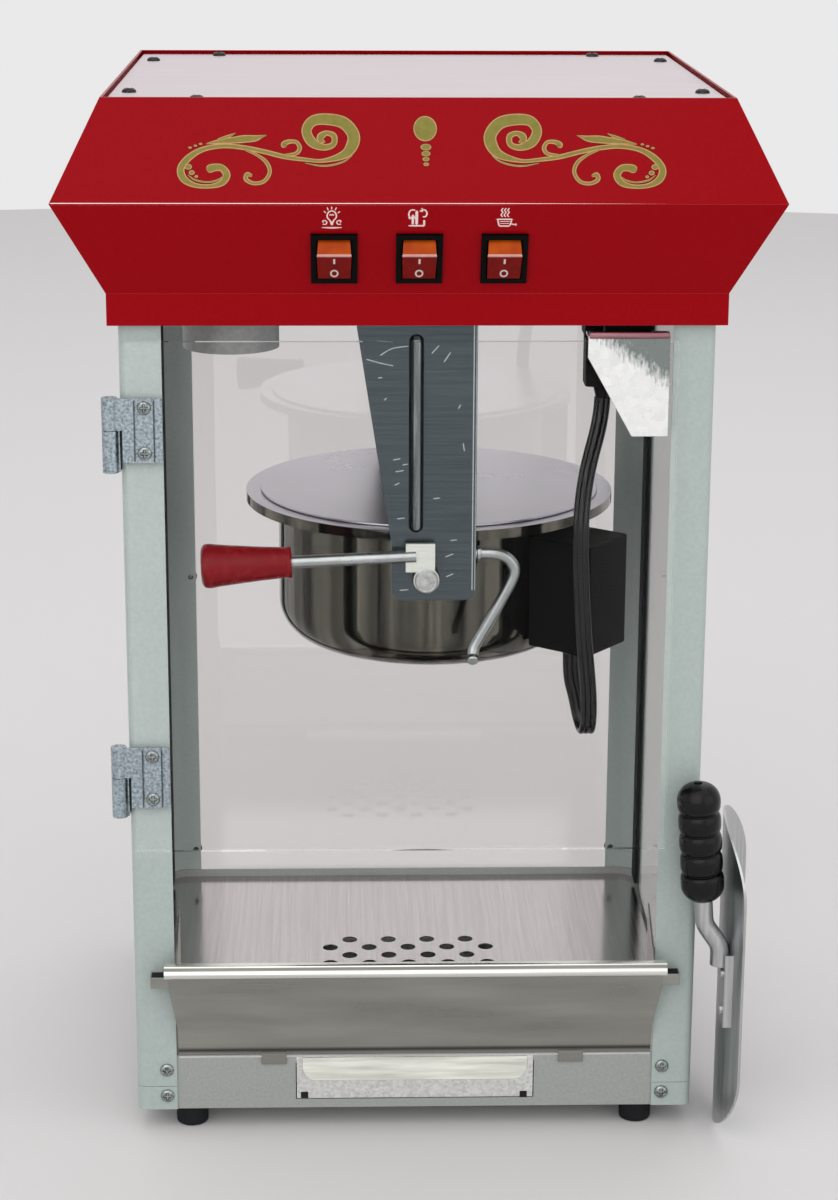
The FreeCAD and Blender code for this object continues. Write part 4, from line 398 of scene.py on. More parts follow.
LEAF = [(-115.7, 34.0, 0.28), (-108.8, 35.3, 1.3), (-100.2, 36.2, 1.95), (-95.2, 36.8, 2.2),
        (-89.1, 37.2, 1.8), (-85.4, 38.3, 0.8), (-82.8, 39.0, 0.1)]
BARB = [(-109.5, 36.4, 0.5), (-104.2, 38.0, 0.95), (-99.4, 40.3, 0.12)]
SHADOW_LINE = [(-36.4, 27.7, 0.2), (-41.0, 24.2, 0.5), (-47.5, 22.1, 0.55), (-54.0, 21.7, 0.5),
               (-62.5, 23.3, 0.2)]
INNER_LINE = [(-125.4, 16.6, 0.2), (-121.5, 13.7, 0.5), (-115.0, 12.4, 0.5), (-109.4, 13.5, 0.5),
              (-106.0, 16.0, 0.2)]
DROPS = [(-124.2, 31.9, 1.0, 0.6), (-121.3, 33.0, 1.0, 0.6), (-118.5, 34.0, 1.0, 0.6),
         (-125.1, 21.1, 2.0, 1.6), (-123.2, 17.8, 1.6, 1.35), (-120.7, 15.6, 1.0, 0.8)]
MIDDLE_OVAL = (3.0, 42.8, 6.4, 7.2)
MIDDLE_DROPS = [(3.3, 32.3, 2.35), (3.3, 28.6, 1.93), (3.3, 25.5, 1.52), (3.4, 22.6, 1.24)]
MIRROR_SUM = 2.4  # the sum of a point's x and its mirror point's x
EDGE = 0.4


def smooth_line(knots, steps=10):
    """A smooth curve through knots: the cubic whose slope at a knot is half its neighbours' difference."""
    knots = np.array(knots, float)
    padded = np.concatenate([2 * knots[:1] - knots[1:2], knots, 2 * knots[-1:] - knots[-2:-1]])
    t = np.linspace(0, 1, steps, endpoint=False)[None, :, None]
    a, b, c, d = (padded[i:len(padded) - 3 + i, None] for i in range(4))
    curve = b + 0.5 * t * (c - a + t * (2 * a - 5 * b + 4 * c - d + t * (3 * (b - c) + d - a)))
    return np.concatenate([curve.reshape(-1, knots.shape[1]), knots[-1:]])


def stroke(knots, lift, flip=1, cap=True):
    """A printed stroke: a ribbon of half width w along a smooth line, with round ends. Columns lie at
    -w, -w + rim, w - rim and w, so the outer two bands are the outline."""
    x, y, half = smooth_line(knots).T
    run = np.concatenate([[0], np.cumsum(np.hypot(np.diff(x), np.diff(y)))])
    if cap:
        for tip, radius in ((run, half[0]), (run[-1] - run, half[-1])):
            near = np.clip(tip / max(radius, 0.01), 0, 1)
            half = half * np.sqrt(np.clip(1 - (1 - near) ** 2, 0.0004, 1))
    slope = np.stack([np.gradient(x), np.gradient(y)])
    slope /= np.linalg.norm(slope, axis=0)
    rim = np.minimum(0.6, half * 0.5)
    offset = np.stack([half, half - rim, rim - half, -half], 1) * flip
    px = x[:, None] - slope[1][:, None] * offset
    py = y[:, None] + slope[0][:, None] * offset
    if flip < 0:
        px = MIRROR_SUM - px
    return np.stack([px, py, np.full_like(px, lift)], -1)


def dot(x, y, half_x, half_y, lift):
    """A printed oval: rings at 0, all but the rim, and 1 of its half axes."""
    ring = np.array([0, 1 - 0.5 / max(half_x, 0.9), 1])[:, None]
    angle = np.linspace(2 * np.pi, 0, 33)
    return np.stack([x + ring * half_x * np.cos(angle), y + ring * half_y * np.sin(angle),
                     np.full((3, 33), lift)], -1)


PANEL_FOOT, PANEL_HEAD = np.array([0, -185.5, 566.0]), np.array([0, -158.9, 620.4])
panel_up = (PANEL_HEAD - PANEL_FOOT) / np.linalg.norm(PANEL_HEAD - PANEL_FOOT)
panel_out = np.cross([1, 0, 0], panel_up)


def on_upper_panel(grid):
    """Carry (x, distance up the slope, lift) onto the upper front panel."""
    return grid @ np.stack([np.array([1.0, 0, 0]), panel_up, panel_out]) + PANEL_FOOT


strokes, ovals, edges = [], [], []
for flip in (1, -1):
    for layer, line in enumerate((STEM, CURL, LOW_CURL, LEAF, BARB, SHADOW_LINE, INNER_LINE)):
        strokes.append(on_upper_panel(stroke(line, 0.06 + 0.02 * layer, flip)))
        edges.append(on_upper_panel(stroke([(x, y, half + EDGE) for x, y, half in line], 0.03, flip)[:, ::3]))
    ovals += [(x if flip > 0 else MIRROR_SUM - x, y, wide, high) for x, y, wide, high in DROPS]
ovals += [MIDDLE_OVAL] + [(x, y, half * 1.25, half * 0.8) for x, y, half in MIDDLE_DROPS]
edges += [on_upper_panel(dot(x, y, wide + EDGE, high + EDGE, 0.03))[::2] for x, y, wide, high in ovals]
ovals = [on_upper_panel(dot(*oval, 0.1)) for oval in ovals]
olive_gold = finish("olive_gold_print", "#78722F", "#847D3A", (4, 4, 4), (0.34, 0.42), 0.15,
                    Specular_IOR_Level=0.2)
pale_gold = finish("pale_gold_print", "#B98458", "#C69166", (4, 4, 4), (0.34, 0.42), 0.15,
                   Specular_IOR_Level=0.2)
dark_edge = finish("dark_red_print", "#5B070B", "#690A0F", (4, 4, 4), (0.3, 0.4), Specular_IOR_Level=0.1)
fills = [grid[:, 1:3] for grid in strokes] + [grid[:2] for grid in ovals]
rims = [grid[:, :2] for grid in strokes] + [grid[:, 2:] for grid in strokes] + [grid[1:] for grid in ovals]
piece("scroll_fill", fills, olive_gold, "cabinet", "red_paint", closed=False)
piece("scroll_dark_edge", edges, dark_edge, "cabinet", "red_paint", closed=False)
piece("scroll_outline", rims, pale_gold, "cabinet", "red_paint", closed=False)

# Top: a steel plate let into the canopy's rim, held by eight black oxide screws.
# It is brushed from side to side, and its satin takes the white of the sky.
top_plate = finish("brushed_top_plate", "#C6BBC0", "#D3C9CD", (90, 1.8, 30), (0.42, 0.5), 1.0)
dress("canopy_top_plate", top_plate)
black_screw = finish("black_oxide_steel", "#111113", "#3C3C41", (1.2, 1.2, 1.2), (0.22, 0.4), 0.7)
PLATE_TOP = 618
top_heads = [seat(pan_head(4.2, 2.4), (sx * x, sy * y, PLATE_TOP), (1, 0, 0), (0, 0, 1))
             for x, y in ((161.4, 105), (121.5, 144.9)) for sx in (-1, 1) for sy in (-1, 1)]
piece("top_screw_heads", top_heads, black_screw, "cabinet", "black_screw", "canopy_top_screws", closed=False)

# Cable gland and terminal block: the gland screws into the back of the canopy, and the block is inside it.
# One is moulded in black ABS and the other in grey polyamide, both with a fine matt skin.
black_plastic = finish("black_abs", "#060505", "#0B0A0A", (1.4, 1.4, 1.4), (0.38, 0.5), relief=0.03,
                       Specular_IOR_Level=0.06)
grey_plastic = finish("grey_polyamide", "#8A8C8E", "#999B9D", (3, 3, 3), (0.45, 0.55), relief=0.02)
dress("cable_gland", black_plastic)
dress("terminal_block", grey_plastic)

# Switches: three snap-in black bezels on the lower front panel, each with a two-way rocker on pins.
# The rocker is moulded in clear amber. Its upper slope is painted a lit orange and its face a shaded dark
# red, with a pale painted highlight along the ridge between them.
eased("switch_housings", "switch_bezels", 0.5, black_plastic, "cabinet", "black_plastic")
CREASE = np.array([0, -185.5, 566.0])
slope_down, slope_out = np.array([0, 0.4539, -0.8911]), np.array([0, -0.8911, -0.4539])


def on_lower_panel(grid):
    """Carry (x, distance down the slope from the crease, lift) onto the lower front panel."""
    return grid @ np.stack([np.array([1.0, 0, 0]), slope_down, slope_out]) + CREASE


def rocker_key(middle):
    """A side profile of (distance down, lift, half width), carried across and closed by a fan at each end."""
    down, lift, half = np.array([(23.2, 0, 8.7), (28.4, 6.3, 9.2), (29, 7, 9.5), (29.9, 6.8, 9.4),
                                 (47.4, 2.5, 9), (45.8, -6, 8.8), (24, -3.5, 8.7), (23.2, 0, 8.7)]).T
    side = np.stack([down, lift], -1)[:, None] * np.array([0, 1, 1, 0])[:, None]
    side += np.array([35, 0]) * np.array([1, 0, 0, 1])[:, None]
    x = middle + half[:, None] * np.array([-1, -1, 1, 1])
    return on_lower_panel(np.concatenate([x[:, :, None], side], -1))


def part_finish(made, material, chosen):
    """Give the faces whose middles, in mm, pass a test another finish."""
    mesh = made.data
    middles = np.zeros(len(mesh.polygons) * 3)
    mesh.polygons.foreach_get("center", middles)
    index = np.zeros(len(mesh.polygons), np.int32)
    mesh.polygons.foreach_get("material_index", index)
    mesh.materials.append(material)
    index[chosen(middles.reshape(-1, 3) / MM)] = len(mesh.materials) - 1
    mesh.polygons.foreach_set("material_index", index)


def oval_ring(x, y, half_x, half_y, width, lift):
    """A printed ring between an oval and a smaller one."""
    inner = np.array([0, 1])[:, None]
    angle = np.linspace(2 * np.pi, 0, 33)
    return np.stack([x + (half_x - width * (1 - inner)) * np.cos(angle),
                     y + (half_y - width * 1.4 * (1 - inner)) * np.sin(angle), np.full((2, 33), lift)], -1)


rocker_in_shade = finish("amber_in_shade", "#6C0F0C", "#7E130F", (6, 6, 6), (0.18, 0.26), Specular_IOR_Level=0.1)
rocker_amber = finish("amber_painted_lit", "#A93A00", "#BD4F00", (9, 9, 9), (0.18, 0.26),
                      Specular_IOR_Level=0.1)
ridge_highlight_amber = finish("amber_painted_ridge_highlight", "#C58A84", "#D09A93", (6, 6, 6), (0.2, 0.3))
mark_print = finish("pale_grey_print", "#CFC6C2", "#DAD2CE", (2, 2, 2), (0.4, 0.5))
FACE = np.array([(29, 7.0), (47.4, 2.5)])
face_step = (FACE[1] - FACE[0]) / np.linalg.norm(FACE[1] - FACE[0])
face_out = np.array([-face_step[1], face_step[0]])
PITCH_X = 46.6
PRINT = 0.08
for middle, name, body in ((-PITCH_X, "rocker_light", "light_key"), (0, "rocker_stirrer", "stirrer_key"),
                           (PITCH_X, "rocker_heater", "heater_key")):
    key = piece(name + "_key", [rocker_key(middle)], rocker_in_shade, body, "rocker_amber", name)
    # Painted light: the lit orange on the upper slope and the highlight on the ridge.
    part_finish(key, rocker_amber, lambda spot: (spot - CREASE) @ slope_down < 26.5)
    part_finish(key, ridge_highlight_amber, lambda spot: np.abs((spot - CREASE) @ slope_down - 29.1) < 0.7)
    bar = np.array([[(0.55, down, PRINT), (-0.55, down, PRINT)] for down in (2.6, 6.6)])
    marks = [np.concatenate([middle + mark[..., :1], FACE[0] + mark[..., 1:2] * face_step
                             + mark[..., 2:] * face_out], -1)
             for mark in (bar, oval_ring(0, 14.6, 2.3, 3.1, 0.85, PRINT))]
    piece(name + "_marks", [on_lower_panel(mark) for mark in marks], mark_print, body, "rocker_amber",
          closed=False)

# Function signs: a lamp, a stirrer and a heated pan, screen-printed in white above the switches.
# Each is a few strokes of (x, distance down from the crease, half width).
BULB = [(-2, 11.6), (-2.2, 10.5), (-3.4, 8.9), (-3.7, 7.1), (-2.9, 5.1), (-1.2, 4.2), (0.5, 5.1), (1.3, 7.1),
        (1, 8.9), (-0.2, 10.5), (-0.4, 11.6)]
CURL_LEFT = [(-6.3, 12.9), (-4.5, 12.9), (-3.9, 11.6), (-4.9, 10.5), (-6.1, 10.8), (-5.7, 11.9)]
LAMP_SIGN = [[(x, y, 0.38) for x, y in BULB], [(-1.2, 11, 0.9), (-1.2, 13.6, 0.7)],
             [(-2.4, 7.3, 0.3), (-1.8, 6.5, 0.3), (-1.2, 7.1, 0.3), (-0.6, 6.5, 0.3), (0, 7.3, 0.3)],
             [(x, y, 0.33) for x, y in CURL_LEFT], [(-2.4 - x, y, 0.33) for x, y in CURL_LEFT],
             [(-6.9, 15.1, 0.2), (-1.2, 15.3, 0.5), (4.4, 15.1, 0.2)],
             [(-1.2, 1.4, 0.3), (-1.2, 3.3, 0.3)], [(-3.7, 1.9, 0.3), (-3, 3.9, 0.3)],
             [(1.4, 1.9, 0.3), (0.6, 3.9, 0.3)], [(-5.5, 4.3, 0.3), (-4.3, 5.6, 0.3)],
             [(3.3, 4.5, 0.3), (2, 5.8, 0.3)]]
STIRRER_SIGN = [[(-6.4, 13.9, 0.5), (3, 13.9, 0.5)], [(-1.8, 3.8, 0.75), (-1.8, 13.5, 0.75)],
                [(-3.9, 6.5, 0.65), (-3.9, 13.3, 0.65)], [(-3.9, 6.8, 0.4), (-2.2, 9.6, 0.4)],
                [(2.3, 10.1, 0.55), (2.3, 13.7, 0.55)],
                [(-5.3, 9.2, 0.42), (-6.1, 6.7, 0.42), (-5.5, 4.3, 0.42), (-3.9, 3.5, 0.42), (-2.6, 4, 0.42)],
                [(-4.6, 8, 0.3), (-5.3, 9.4, 0.3), (-6.3, 8.3, 0.3)],
                [(-0.2, 4.6, 0.42), (1.4, 3.5, 0.42), (3, 4, 0.42), (3.7, 5.9, 0.42), (3, 7.8, 0.42),
                 (1.4, 8.1, 0.42)], [(0.6, 2.4, 0.3), (1.6, 3.5, 0.3), (0.8, 5, 0.3)]]
STEAM = [(0.4, 8.1), (-0.5, 6.7), (0.4, 5.1), (-0.4, 3.8), (0.5, 2.3)]
PAN_SIGN = [[(-5.4, 9.7, 0.45), (4, 9.7, 0.45)], [(-4.4, 10, 0.4), (-3.5, 14, 0.4)],
            [(-3.7, 14.1, 0.45), (2.4, 14.1, 0.45)], [(2.3, 14, 0.4), (3.2, 10, 0.4)],
            [(-3.4, 11.1, 0.2), (2.4, 11.1, 0.2)], [(-3.2, 12.4, 0.2), (2.2, 12.4, 0.2)],
            [(2.9, 12.7, 0.4), (5.2, 13.1, 0.4), (5.3, 13.1, 0.8), (6.1, 13.2, 0.8)]]
PAN_SIGN += [[(x + start, y, 0.33) for x, y in STEAM] for start in (-2.2, -0.5, 1.2)]
signs = [on_lower_panel(stroke(line, 0.06)[:, 3::-3] + (middle, 0, 0))
         for middle, sign in ((-PITCH_X, LAMP_SIGN), (0, STIRRER_SIGN), (PITCH_X, PAN_SIGN)) for line in sign]
white_print = finish("white_screen_print", "#E8C9C6", "#F2DAD7", (3, 3, 3), (0.4, 0.5))
piece("function_signs", signs, white_print, "cabinet", "red_paint", closed=False)

# Stirrer drive: a gear motor bolted on the ceiling, and the forked shaft below it that takes the stirrer.
# The motor's case is grey pressed steel, and the shaft is ground bright.
motor_steel = finish("motor_case_steel", "#6E7174", "#85888B", (5, 5, 5), (0.35, 0.5), 0.9)
bright_steel = finish("polished_steel_rod", "#A8A5A2", "#C9C6C3", (3, 3, 3), (0.12, 0.22), 1.0)
dress("gear_motor", motor_steel)
dress("drive_shaft", bright_steel)
dress("ceiling_bolts", zinc)

# Lamp: a shade spun from sheet, a holder of glazed ceramic and a small frosted bulb.
# The shade's grey stove enamel has a soft gloss.
lamp_grey = finish("grey_stoved_enamel", "#8D8F8E", "#9C9E9D", (3, 3, 3), (0.35, 0.45), relief=0.03)
ceramic = finish("glazed_ceramic", "#DAD7CE", "#E6E3DB", (5, 5, 5), (0.15, 0.25))
bulb_glass = finish("frosted_bulb_glass", "#E9E4D6", "#F3EFE4", (5, 5, 5), (0.1, 0.2))
dress("lamp_shade", lamp_grey)
dress("lamp_socket", ceramic)
dress("lamp_bulb", bulb_glass)

# Hangers: two folded plates of galvanised steel bolted under the ceiling, each with a pressed bead.
# They are dark and drawn across by the rolls. The bead's crown is painted with a bright highlight and its
# flanks with dark shade.
galvanised = finish("dark_galvanised_steel", "#4A5256", "#586165", (60, 60, 1.4), (0.3, 0.38), 1.0)
bead_crown_highlight = finish("bead_crown_painted_highlight", "#5F6668", "#8C9394", (4, 4, 40), (0.1, 0.18), 1.0)
flank_shade_finish = finish("painted_shade_on_flanks", "#26292B", "#33383A", (4, 4, 40), (0.25, 0.35), 1.0)
front_plate = eased("hanger_front", "front_hanger_plate", 0.5, galvanised, "cabinet", "galvanised")
rear_plate = eased("hanger_rear", "rear_hanger_plate", 0.5, galvanised, "cabinet", "galvanised")
BEAD_FOOT = 126.2
for end, plate in ((-1, front_plate), (1, rear_plate)):
    part_finish(plate, bead_crown_highlight,
                lambda spot: (spot[:, 1] * end > BEAD_FOOT) & (np.abs(spot[:, 0]) < 2))
    part_finish(plate, flank_shade_finish,
                lambda spot: (spot[:, 1] * end > BEAD_FOOT) & (np.abs(spot[:, 0] - 0.3) > 1.9))
# The front plate has short bright scratches.
SCRATCHES = [[(-21, 472), (-14, 476), (-4.5, 477.5)], [(-29, 470), (-20, 467.5), (-13, 466)],
             [(15.5, 468), (19.5, 474)], [(8.5, 473), (13, 478)], [(-13.5, 411), (-9, 411.8)],
             [(-8, 408), (-4.6, 408.6)], [(-12, 404), (-7, 404.8)], [(-12.5, 396), (-9.5, 397.5)],
             [(27, 421), (27.8, 416)], [(-18.5, 446), (-17, 447.5)], [(17, 353), (22, 355)],
             [(17.5, 341), (22, 343)], [(20, 363), (24, 363.4)],
             [(-11, 376), (-6.5, 376.6)], [(-9.5, 333), (-4, 333.4)], [(-22, 459), (-19.5, 459.3)],
             [(24, 441), (25.5, 443.5)], [(10, 388), (14, 388.5)]]
HANGER_FACE = -126
to_front = np.array([[1, 0, 0], [0, 0, 1], [0, -1, 0]])
scratch_and_highlight_strips = [stroke([(x, z, 0.28) for x, z in line], 0.05)[:, ::3] @ to_front + (0, HANGER_FACE, 0)
             for line in SCRATCHES]
scratch_and_highlight_steel = finish("bare_steel_scratches_and_highlights", "#A9B2B4", "#C4CCCD", (3, 3, 3), (0.3, 0.4), 0.8)
# Two painted highlights run along the folded right-hand edge.
scratch_and_highlight_strips += [strip(x, x + wide, 333, 498.5, HANGER_FACE - 0.06) for x, wide in ((32.6, 0.6), (34.3, 0.35))]
piece("hanger_scratch_and_highlight_strips", scratch_and_highlight_strips, scratch_and_highlight_steel, "cabinet", "galvanised", closed=False)
bush_bronze = finish("oiled_sintered_bronze", "#3B362E", "#4A443A", (1, 1, 1), (0.4, 0.55), 1.0)
dress("pivot_bushes", bush_bronze)


# Lock lever: a bent zinc-plated rod through the hanger, with a pressed collar beside the plate.
# Its lower end is bent towards the front, to be pushed by a finger.
def round_bar(line, radius, steps=20):
    """Carry a circle along a smooth line: at each point the ring lies across the line's own direction, and
    each end is closed by a smaller ring and a middle point."""
    line = smooth_line(line)
    ahead = np.gradient(line, axis=0)
    ahead /= np.linalg.norm(ahead, axis=1)[:, None]
    first = np.cross(ahead, [0.3, -0.2, 0.93])
    first /= np.linalg.norm(first, axis=1)[:, None]
    second = np.cross(ahead, first)
    angle = np.linspace(0, 2 * np.pi, steps + 1)[:, None]
    ring = line[:, None] + radius * (first[:, None] * np.cos(angle) + second[:, None] * np.sin(angle))
    middles = [line[end] + ahead[end] * side * radius * 0.2 for end, side in ((0, -1), (-1, 1))]
    near = [middle + (ring[end] - line[end]) * 0.8 for middle, end in zip(middles, (0, -1))]
    tips = [np.repeat(middle[None], steps + 1, 0) for middle in middles]
    return np.concatenate([[tips[0], near[0]], ring, [near[1], tips[1]]])


LOCK_LINE = [(32, -119, 353.4), (38, -119, 353.4), (46, -119, 353.2), (53.6, -119, 350.6), (58, -119, 344.5),
             (56.6, -119, 337), (50, -119, 324), (42.4, -119, 310), (36.8, -119.1, 300), (34.4, -119.8, 295),
             (33.9, -121.6, 291.2), (33.9, -125, 289.4)]
COLLAR = [(0, 0), (4.4, 0), (4.7, 0.3), (4.7, 2), (4.3, 2.4), (0, 2.4)]
lock_collar = seat(lathe(COLLAR, 24), (36, -119, 353.4), (0, 1, 0), (1, 0, 0))
rod_zinc = finish("dull_zinc_rod", "#9DA3A3", "#B2B7B6", (24, 24, 24), (0.2, 0.28), 1.0)
piece("lock_lever_rod", [round_bar(LOCK_LINE, 3.4), lock_collar], rod_zinc, "lock", "zinc", "lock_lever")

# Kettle: a drawn shell of stainless steel round a pressed pan, with a bar and two half lids on top.
# The shell is a mirror, and its upright bands stand in for what it mirrors in the photograph. The pan's
# flange and the lids are satin.
kettle_steel = finish("mirror_polished_steel", "#060606", "#7B7A70", (10, 10, 800), (0.04, 0.1), 1.0)
dress("kettle_shell", kettle_steel)
dress("kettle_pan", kettle_steel)
lid_steel = finish("satin_lid_steel", "#BEBCC4", "#C6C4CB", (60, 60, 60), (0.27, 0.29), 1.0)
FLANGE_FOOT = 364.9
part_finish(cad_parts["kettle_pan"], lid_steel, lambda spot: spot[:, 2] > FLANGE_FOOT)
eased("kettle_crossbar", "kettle_bar", 0.4, kettle_steel, "kettle", "kettle_steel")
eased("lid_left", "left_half_lid", 0.3, lid_steel, "left_lid", "kettle_steel")
eased("lid_right", "right_half_lid", 0.3, lid_steel, "right_lid", "kettle_steel")
dress("lid_pins", bright_steel)
dress("stirrer", bright_steel)
dress("stirrer_bush", bush_bronze)
heater = finish("sheathed_heater", "#3A3634", "#4A4543", (4, 4, 4), (0.5, 0.65), 0.8)
dress("heater_ring", heater)
eased("terminal_box", "kettle_terminal_box", 1.0, black_plastic, "kettle", "black_plastic")
dress("pivot_studs", bright_steel)
# The turned bolt's head has rings left by the tool.
bolt = lathe([(0, 3.4), (1.3, 3.4), (1.6, 3.9), (2.6, 3.9), (2.9, 3.5), (4.1, 3.5), (4.4, 4), (6, 4),
              (6.8, 3.2), (6.9, 0), (0, 0)])
bolt = seat(bolt, (6, -134, 341), (1, 0, 0), (0, -1, 0))
piece("turned_pivot_bolt", [bolt], zinc, "kettle", "zinc", "pivot_bolt")
# The tilt lever is a rod welded to a pale lug, with a red moulded grip.
lever = eased("tilt_lever", "tilt_lever_arm", 0.4, rod_zinc, "kettle", "zinc")
lug_zinc = finish("pale_zinc_lug", "#D9DED6", "#E6EAE3", (8, 8, 1), (0.34, 0.4), 1.0)
LUG_LEFT = -6
part_finish(lever, lug_zinc, lambda spot: spot[:, 0] > LUG_LEFT)
grip_red = finish("red_phenolic_grip", "#74060F", "#7E0913", (4, 4, 4), (0.22, 0.3), Specular_IOR_Level=0.15)
tilt_grip = lathe([(0, 0.1), (8.3, 0.1), (9.1, 0.5), (9.4, 1.3), (9.3, 2.7), (8.9, 3.3), (9.9, 18),
                   (11.2, 32), (12.3, 43), (12.9, 46.4), (12.9, 48.6), (12.3, 50.8), (10.6, 52.1),
                   (8, 52.4), (0, 52.4)])
tilt_grip = seat(tilt_grip, (-71.93, -132.5, 352.03), (0, 1, 0), (-0.999, 0, -0.0454))
piece("tilt_lever_grip", [tilt_grip], grip_red, "kettle", "grip_red", "tilt_grip")

# Kettle supply: a black outlet under the ceiling, its plug, and a flat three-rib cord that hangs in a
# loop to the terminal box. The PVC is satin and shows the ribs.
eased("kettle_outlet", "supply_outlet", 0.8, black_plastic, "cabinet", "black_plastic")
dress("kettle_plug", black_plastic)
dress("cord_relief", black_plastic)
ROUTE = [(110, -92, 441), (110, -92, 429), (100, -103, 396), (97, -110, 366), (98, -112.5, 332),
         (100.5, -112.8, 298), (103.5, -111.5, 271), (104.6, -110.2, 256), (104.4, -109.5, 243.7),
         (103.8, -102.8, 237), (102.8, -93.2, 237), (101, -86.5, 243.7), (98.5, -86, 256),
         (95, -86, 268), (95, -86, 282.7)]
curve = bpy.data.curves.new("cord_route", "CURVE")
curve.dimensions = "3D"
spline = curve.splines.new("NURBS")
spline.points.add(len(ROUTE) - 1)
spline.points.foreach_set("co", np.append(np.array(ROUTE) * MM, np.ones((len(ROUTE), 1)), 1).ravel())
spline.order_u = 3
spline.use_endpoint_u = True
spline.resolution_u = 8
route_object = bpy.data.objects.new("cord_route", curve)
route_mesh = bpy.data.meshes.new_from_object(route_object)
line = np.zeros(len(route_mesh.vertices) * 3)
route_mesh.vertices.foreach_get("co", line)
line = line.reshape(-1, 3)
bpy.data.meshes.remove(route_mesh)
bpy.data.objects.remove(route_object)
bpy.data.curves.remove(curve)


def three_rib_cord(line, width, rib):
    """Carry a flat section of three round ribs along a line: half thickness sqrt(rib^2 - d^2), where d is
    the distance to the nearest rib's middle. The wide side stays along X."""
    ahead = np.gradient(line, axis=0)
    ahead /= np.linalg.norm(ahead, axis=1)[:, None]
    wide = np.array([1.0, 0, 0]) - ahead * ahead[:, :1]
    wide /= np.linalg.norm(wide, axis=1)[:, None]
    thick = np.cross(ahead, wide)
    angle = np.linspace(0, 2 * np.pi, 73)
    u = width / 2 * np.cos(angle)
    middle = np.clip(np.round(u / (width / 2 - rib)), -1, 1) * (width / 2 - rib)
    v = np.sign(np.sin(angle)) * np.sqrt(np.clip(rib ** 2 - (u - middle) ** 2, 0, None))
    ring = line[:, None] + wide[:, None] * u[:, None] + thick[:, None] * v[:, None]
    caps = [np.repeat(line[end][None, None], len(angle), 1) for end in (0, -1)]
    return np.concatenate([caps[0], ring, caps[1]])


black_pvc = finish("black_pvc_cord", "#050506", "#0B0B0C", (3, 3, 3), (0.14, 0.2), Specular_IOR_Level=0.4)
cord_mesh = sheet_mesh("kettle_supply_cord", [three_rib_cord(line / MM, 9.6, 1.85)])
cord_mesh.materials.append(black_pvc)
cord = bpy.data.objects.new("kettle_supply_cord", cord_mesh)
scene.collection.objects.link(cord)
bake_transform(cord)
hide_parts("kettle_cord")

# Door: a pane of clear glass on two lift-off hinges of cast zinc, with a black magnetic catch.
# The hinges' hammered skin breaks the light into small spots.
dress("door_glass", clear_pane)
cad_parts["door_glass"].visible_shadow = False
dress("door_catch", black_plastic)
hinge_zinc = finish("hammered_zinc", "#77848C", "#BFCBD2", (1.7, 1.7, 1.7), (0.24, 0.38), 1.0, relief=0.2)
eased("hinge_leaves_door", "door_hinge_leaves", 0.3, hinge_zinc, "door", "zinc")
eased("hinge_leaves_post", "post_hinge_leaves", 0.3, hinge_zinc, "cabinet", "zinc")
HINGE_HEIGHTS = (229, 435.4)
grooves = [strip(x - 0.35, x + 0.35, z - 17.5, z + 17.5, -159.9) for x in (-159, -148) for z in HINGE_HEIGHTS]
piece("hinge_grooves", grooves, galvanised, "door", "zinc", closed=False)
dress("hinge_pins", bright_steel)
hinge_heads = [seat(pan_head(4.1, 1.9), (-153.5, -158.2, z + step), (1, 0, 0), (0, -1, 0))
               for z in HINGE_HEIGHTS for step in (-13, 13)]
piece("hinge_screw_heads", hinge_heads, screw_zinc, "door", "zinc", "hinge_screws", closed=False)


# Handle: a folded plate of bright galvanised sheet hooked over the head of the pane, and rolled there.
# Its upper right-hand part is darker, in flecks, and the roll is tinted red. Both stand in for what the
# sheet probably mirrors in the photograph.
def overlay(material, amount, colour):
    """Lay another colour over a finish's own, as far as a socket from 0 to 1 says."""
    tree = material.node_tree
    base_colour = tree.nodes["Principled BSDF"].inputs["Base Color"]
    tint = add_node(tree, "Mix", {0: amount, 6: base_colour.links[0].from_socket, 7: linear(colour)},
                    data_type="RGBA")
    tree.links.new(tint.outputs[2], base_colour)


handle_zinc = spangled("bright_galvanised_sheet", "#F2F4F2", "#FDFDFC", 4, (0.24, 0.32))
tree = handle_zinc.node_tree
coords = add_node(tree, "TexCoord").outputs["Object"]
fleck = add_node(tree, "Mapping", {"Vector": coords, "Scale": (900, 900, 260)})
fleck = add_node(tree, "TexNoise", {"Vector": fleck.outputs["Vector"], "Scale": 1, "Detail": 3})
height = add_node(tree, "VectorMath", {0: coords, 1: (0.66, 0, 1)}, operation="DOT_PRODUCT")
height = add_node(tree, "Math", {0: fleck.outputs["Fac"], 1: 0.022, 2: height.outputs["Value"]},
                  operation="MULTIPLY_ADD")
# The darker flecks at the upper right are a painted reflection.
reflection_flecks = add_node(tree, "MapRange", {"Value": height.outputs["Value"], "From Min": 0.562, "From Max": 0.572})
overlay(handle_zinc, reflection_flecks.outputs["Result"], "#858D8B")
eased("door_handle", "door_handle_plate", 0.4, handle_zinc, "door", "galvanised")
HANDLE_ROLL = [(x, -157.2, 489.3) for x in (96, 110, 126, 140)]
# The roll's red tint is a painted reflection.
roll_reflection_tint = finish("zinc_painted_red_reflection", "#7E5157", "#B0838A", (40, 1.2, 1.2), (0.22, 0.34), 1.0)
piece("door_handle_roll", [round_bar(HANDLE_ROLL, 2.3)], roll_reflection_tint, "door", "galvanised")

# Guard: a low leaning fence of stainless steel that hooks over the front of the base and lifts out.
# It is brushed from side to side, in soft bands that run across it.
guard_steel = finish("brushed_guard_steel", "#90918B", "#A8A7A0", (110, 40, 18), (0.26, 0.33), 1.0)
guard = eased("front_guard", "lift_out_guard", 0.3, guard_steel, "guard", "stainless")
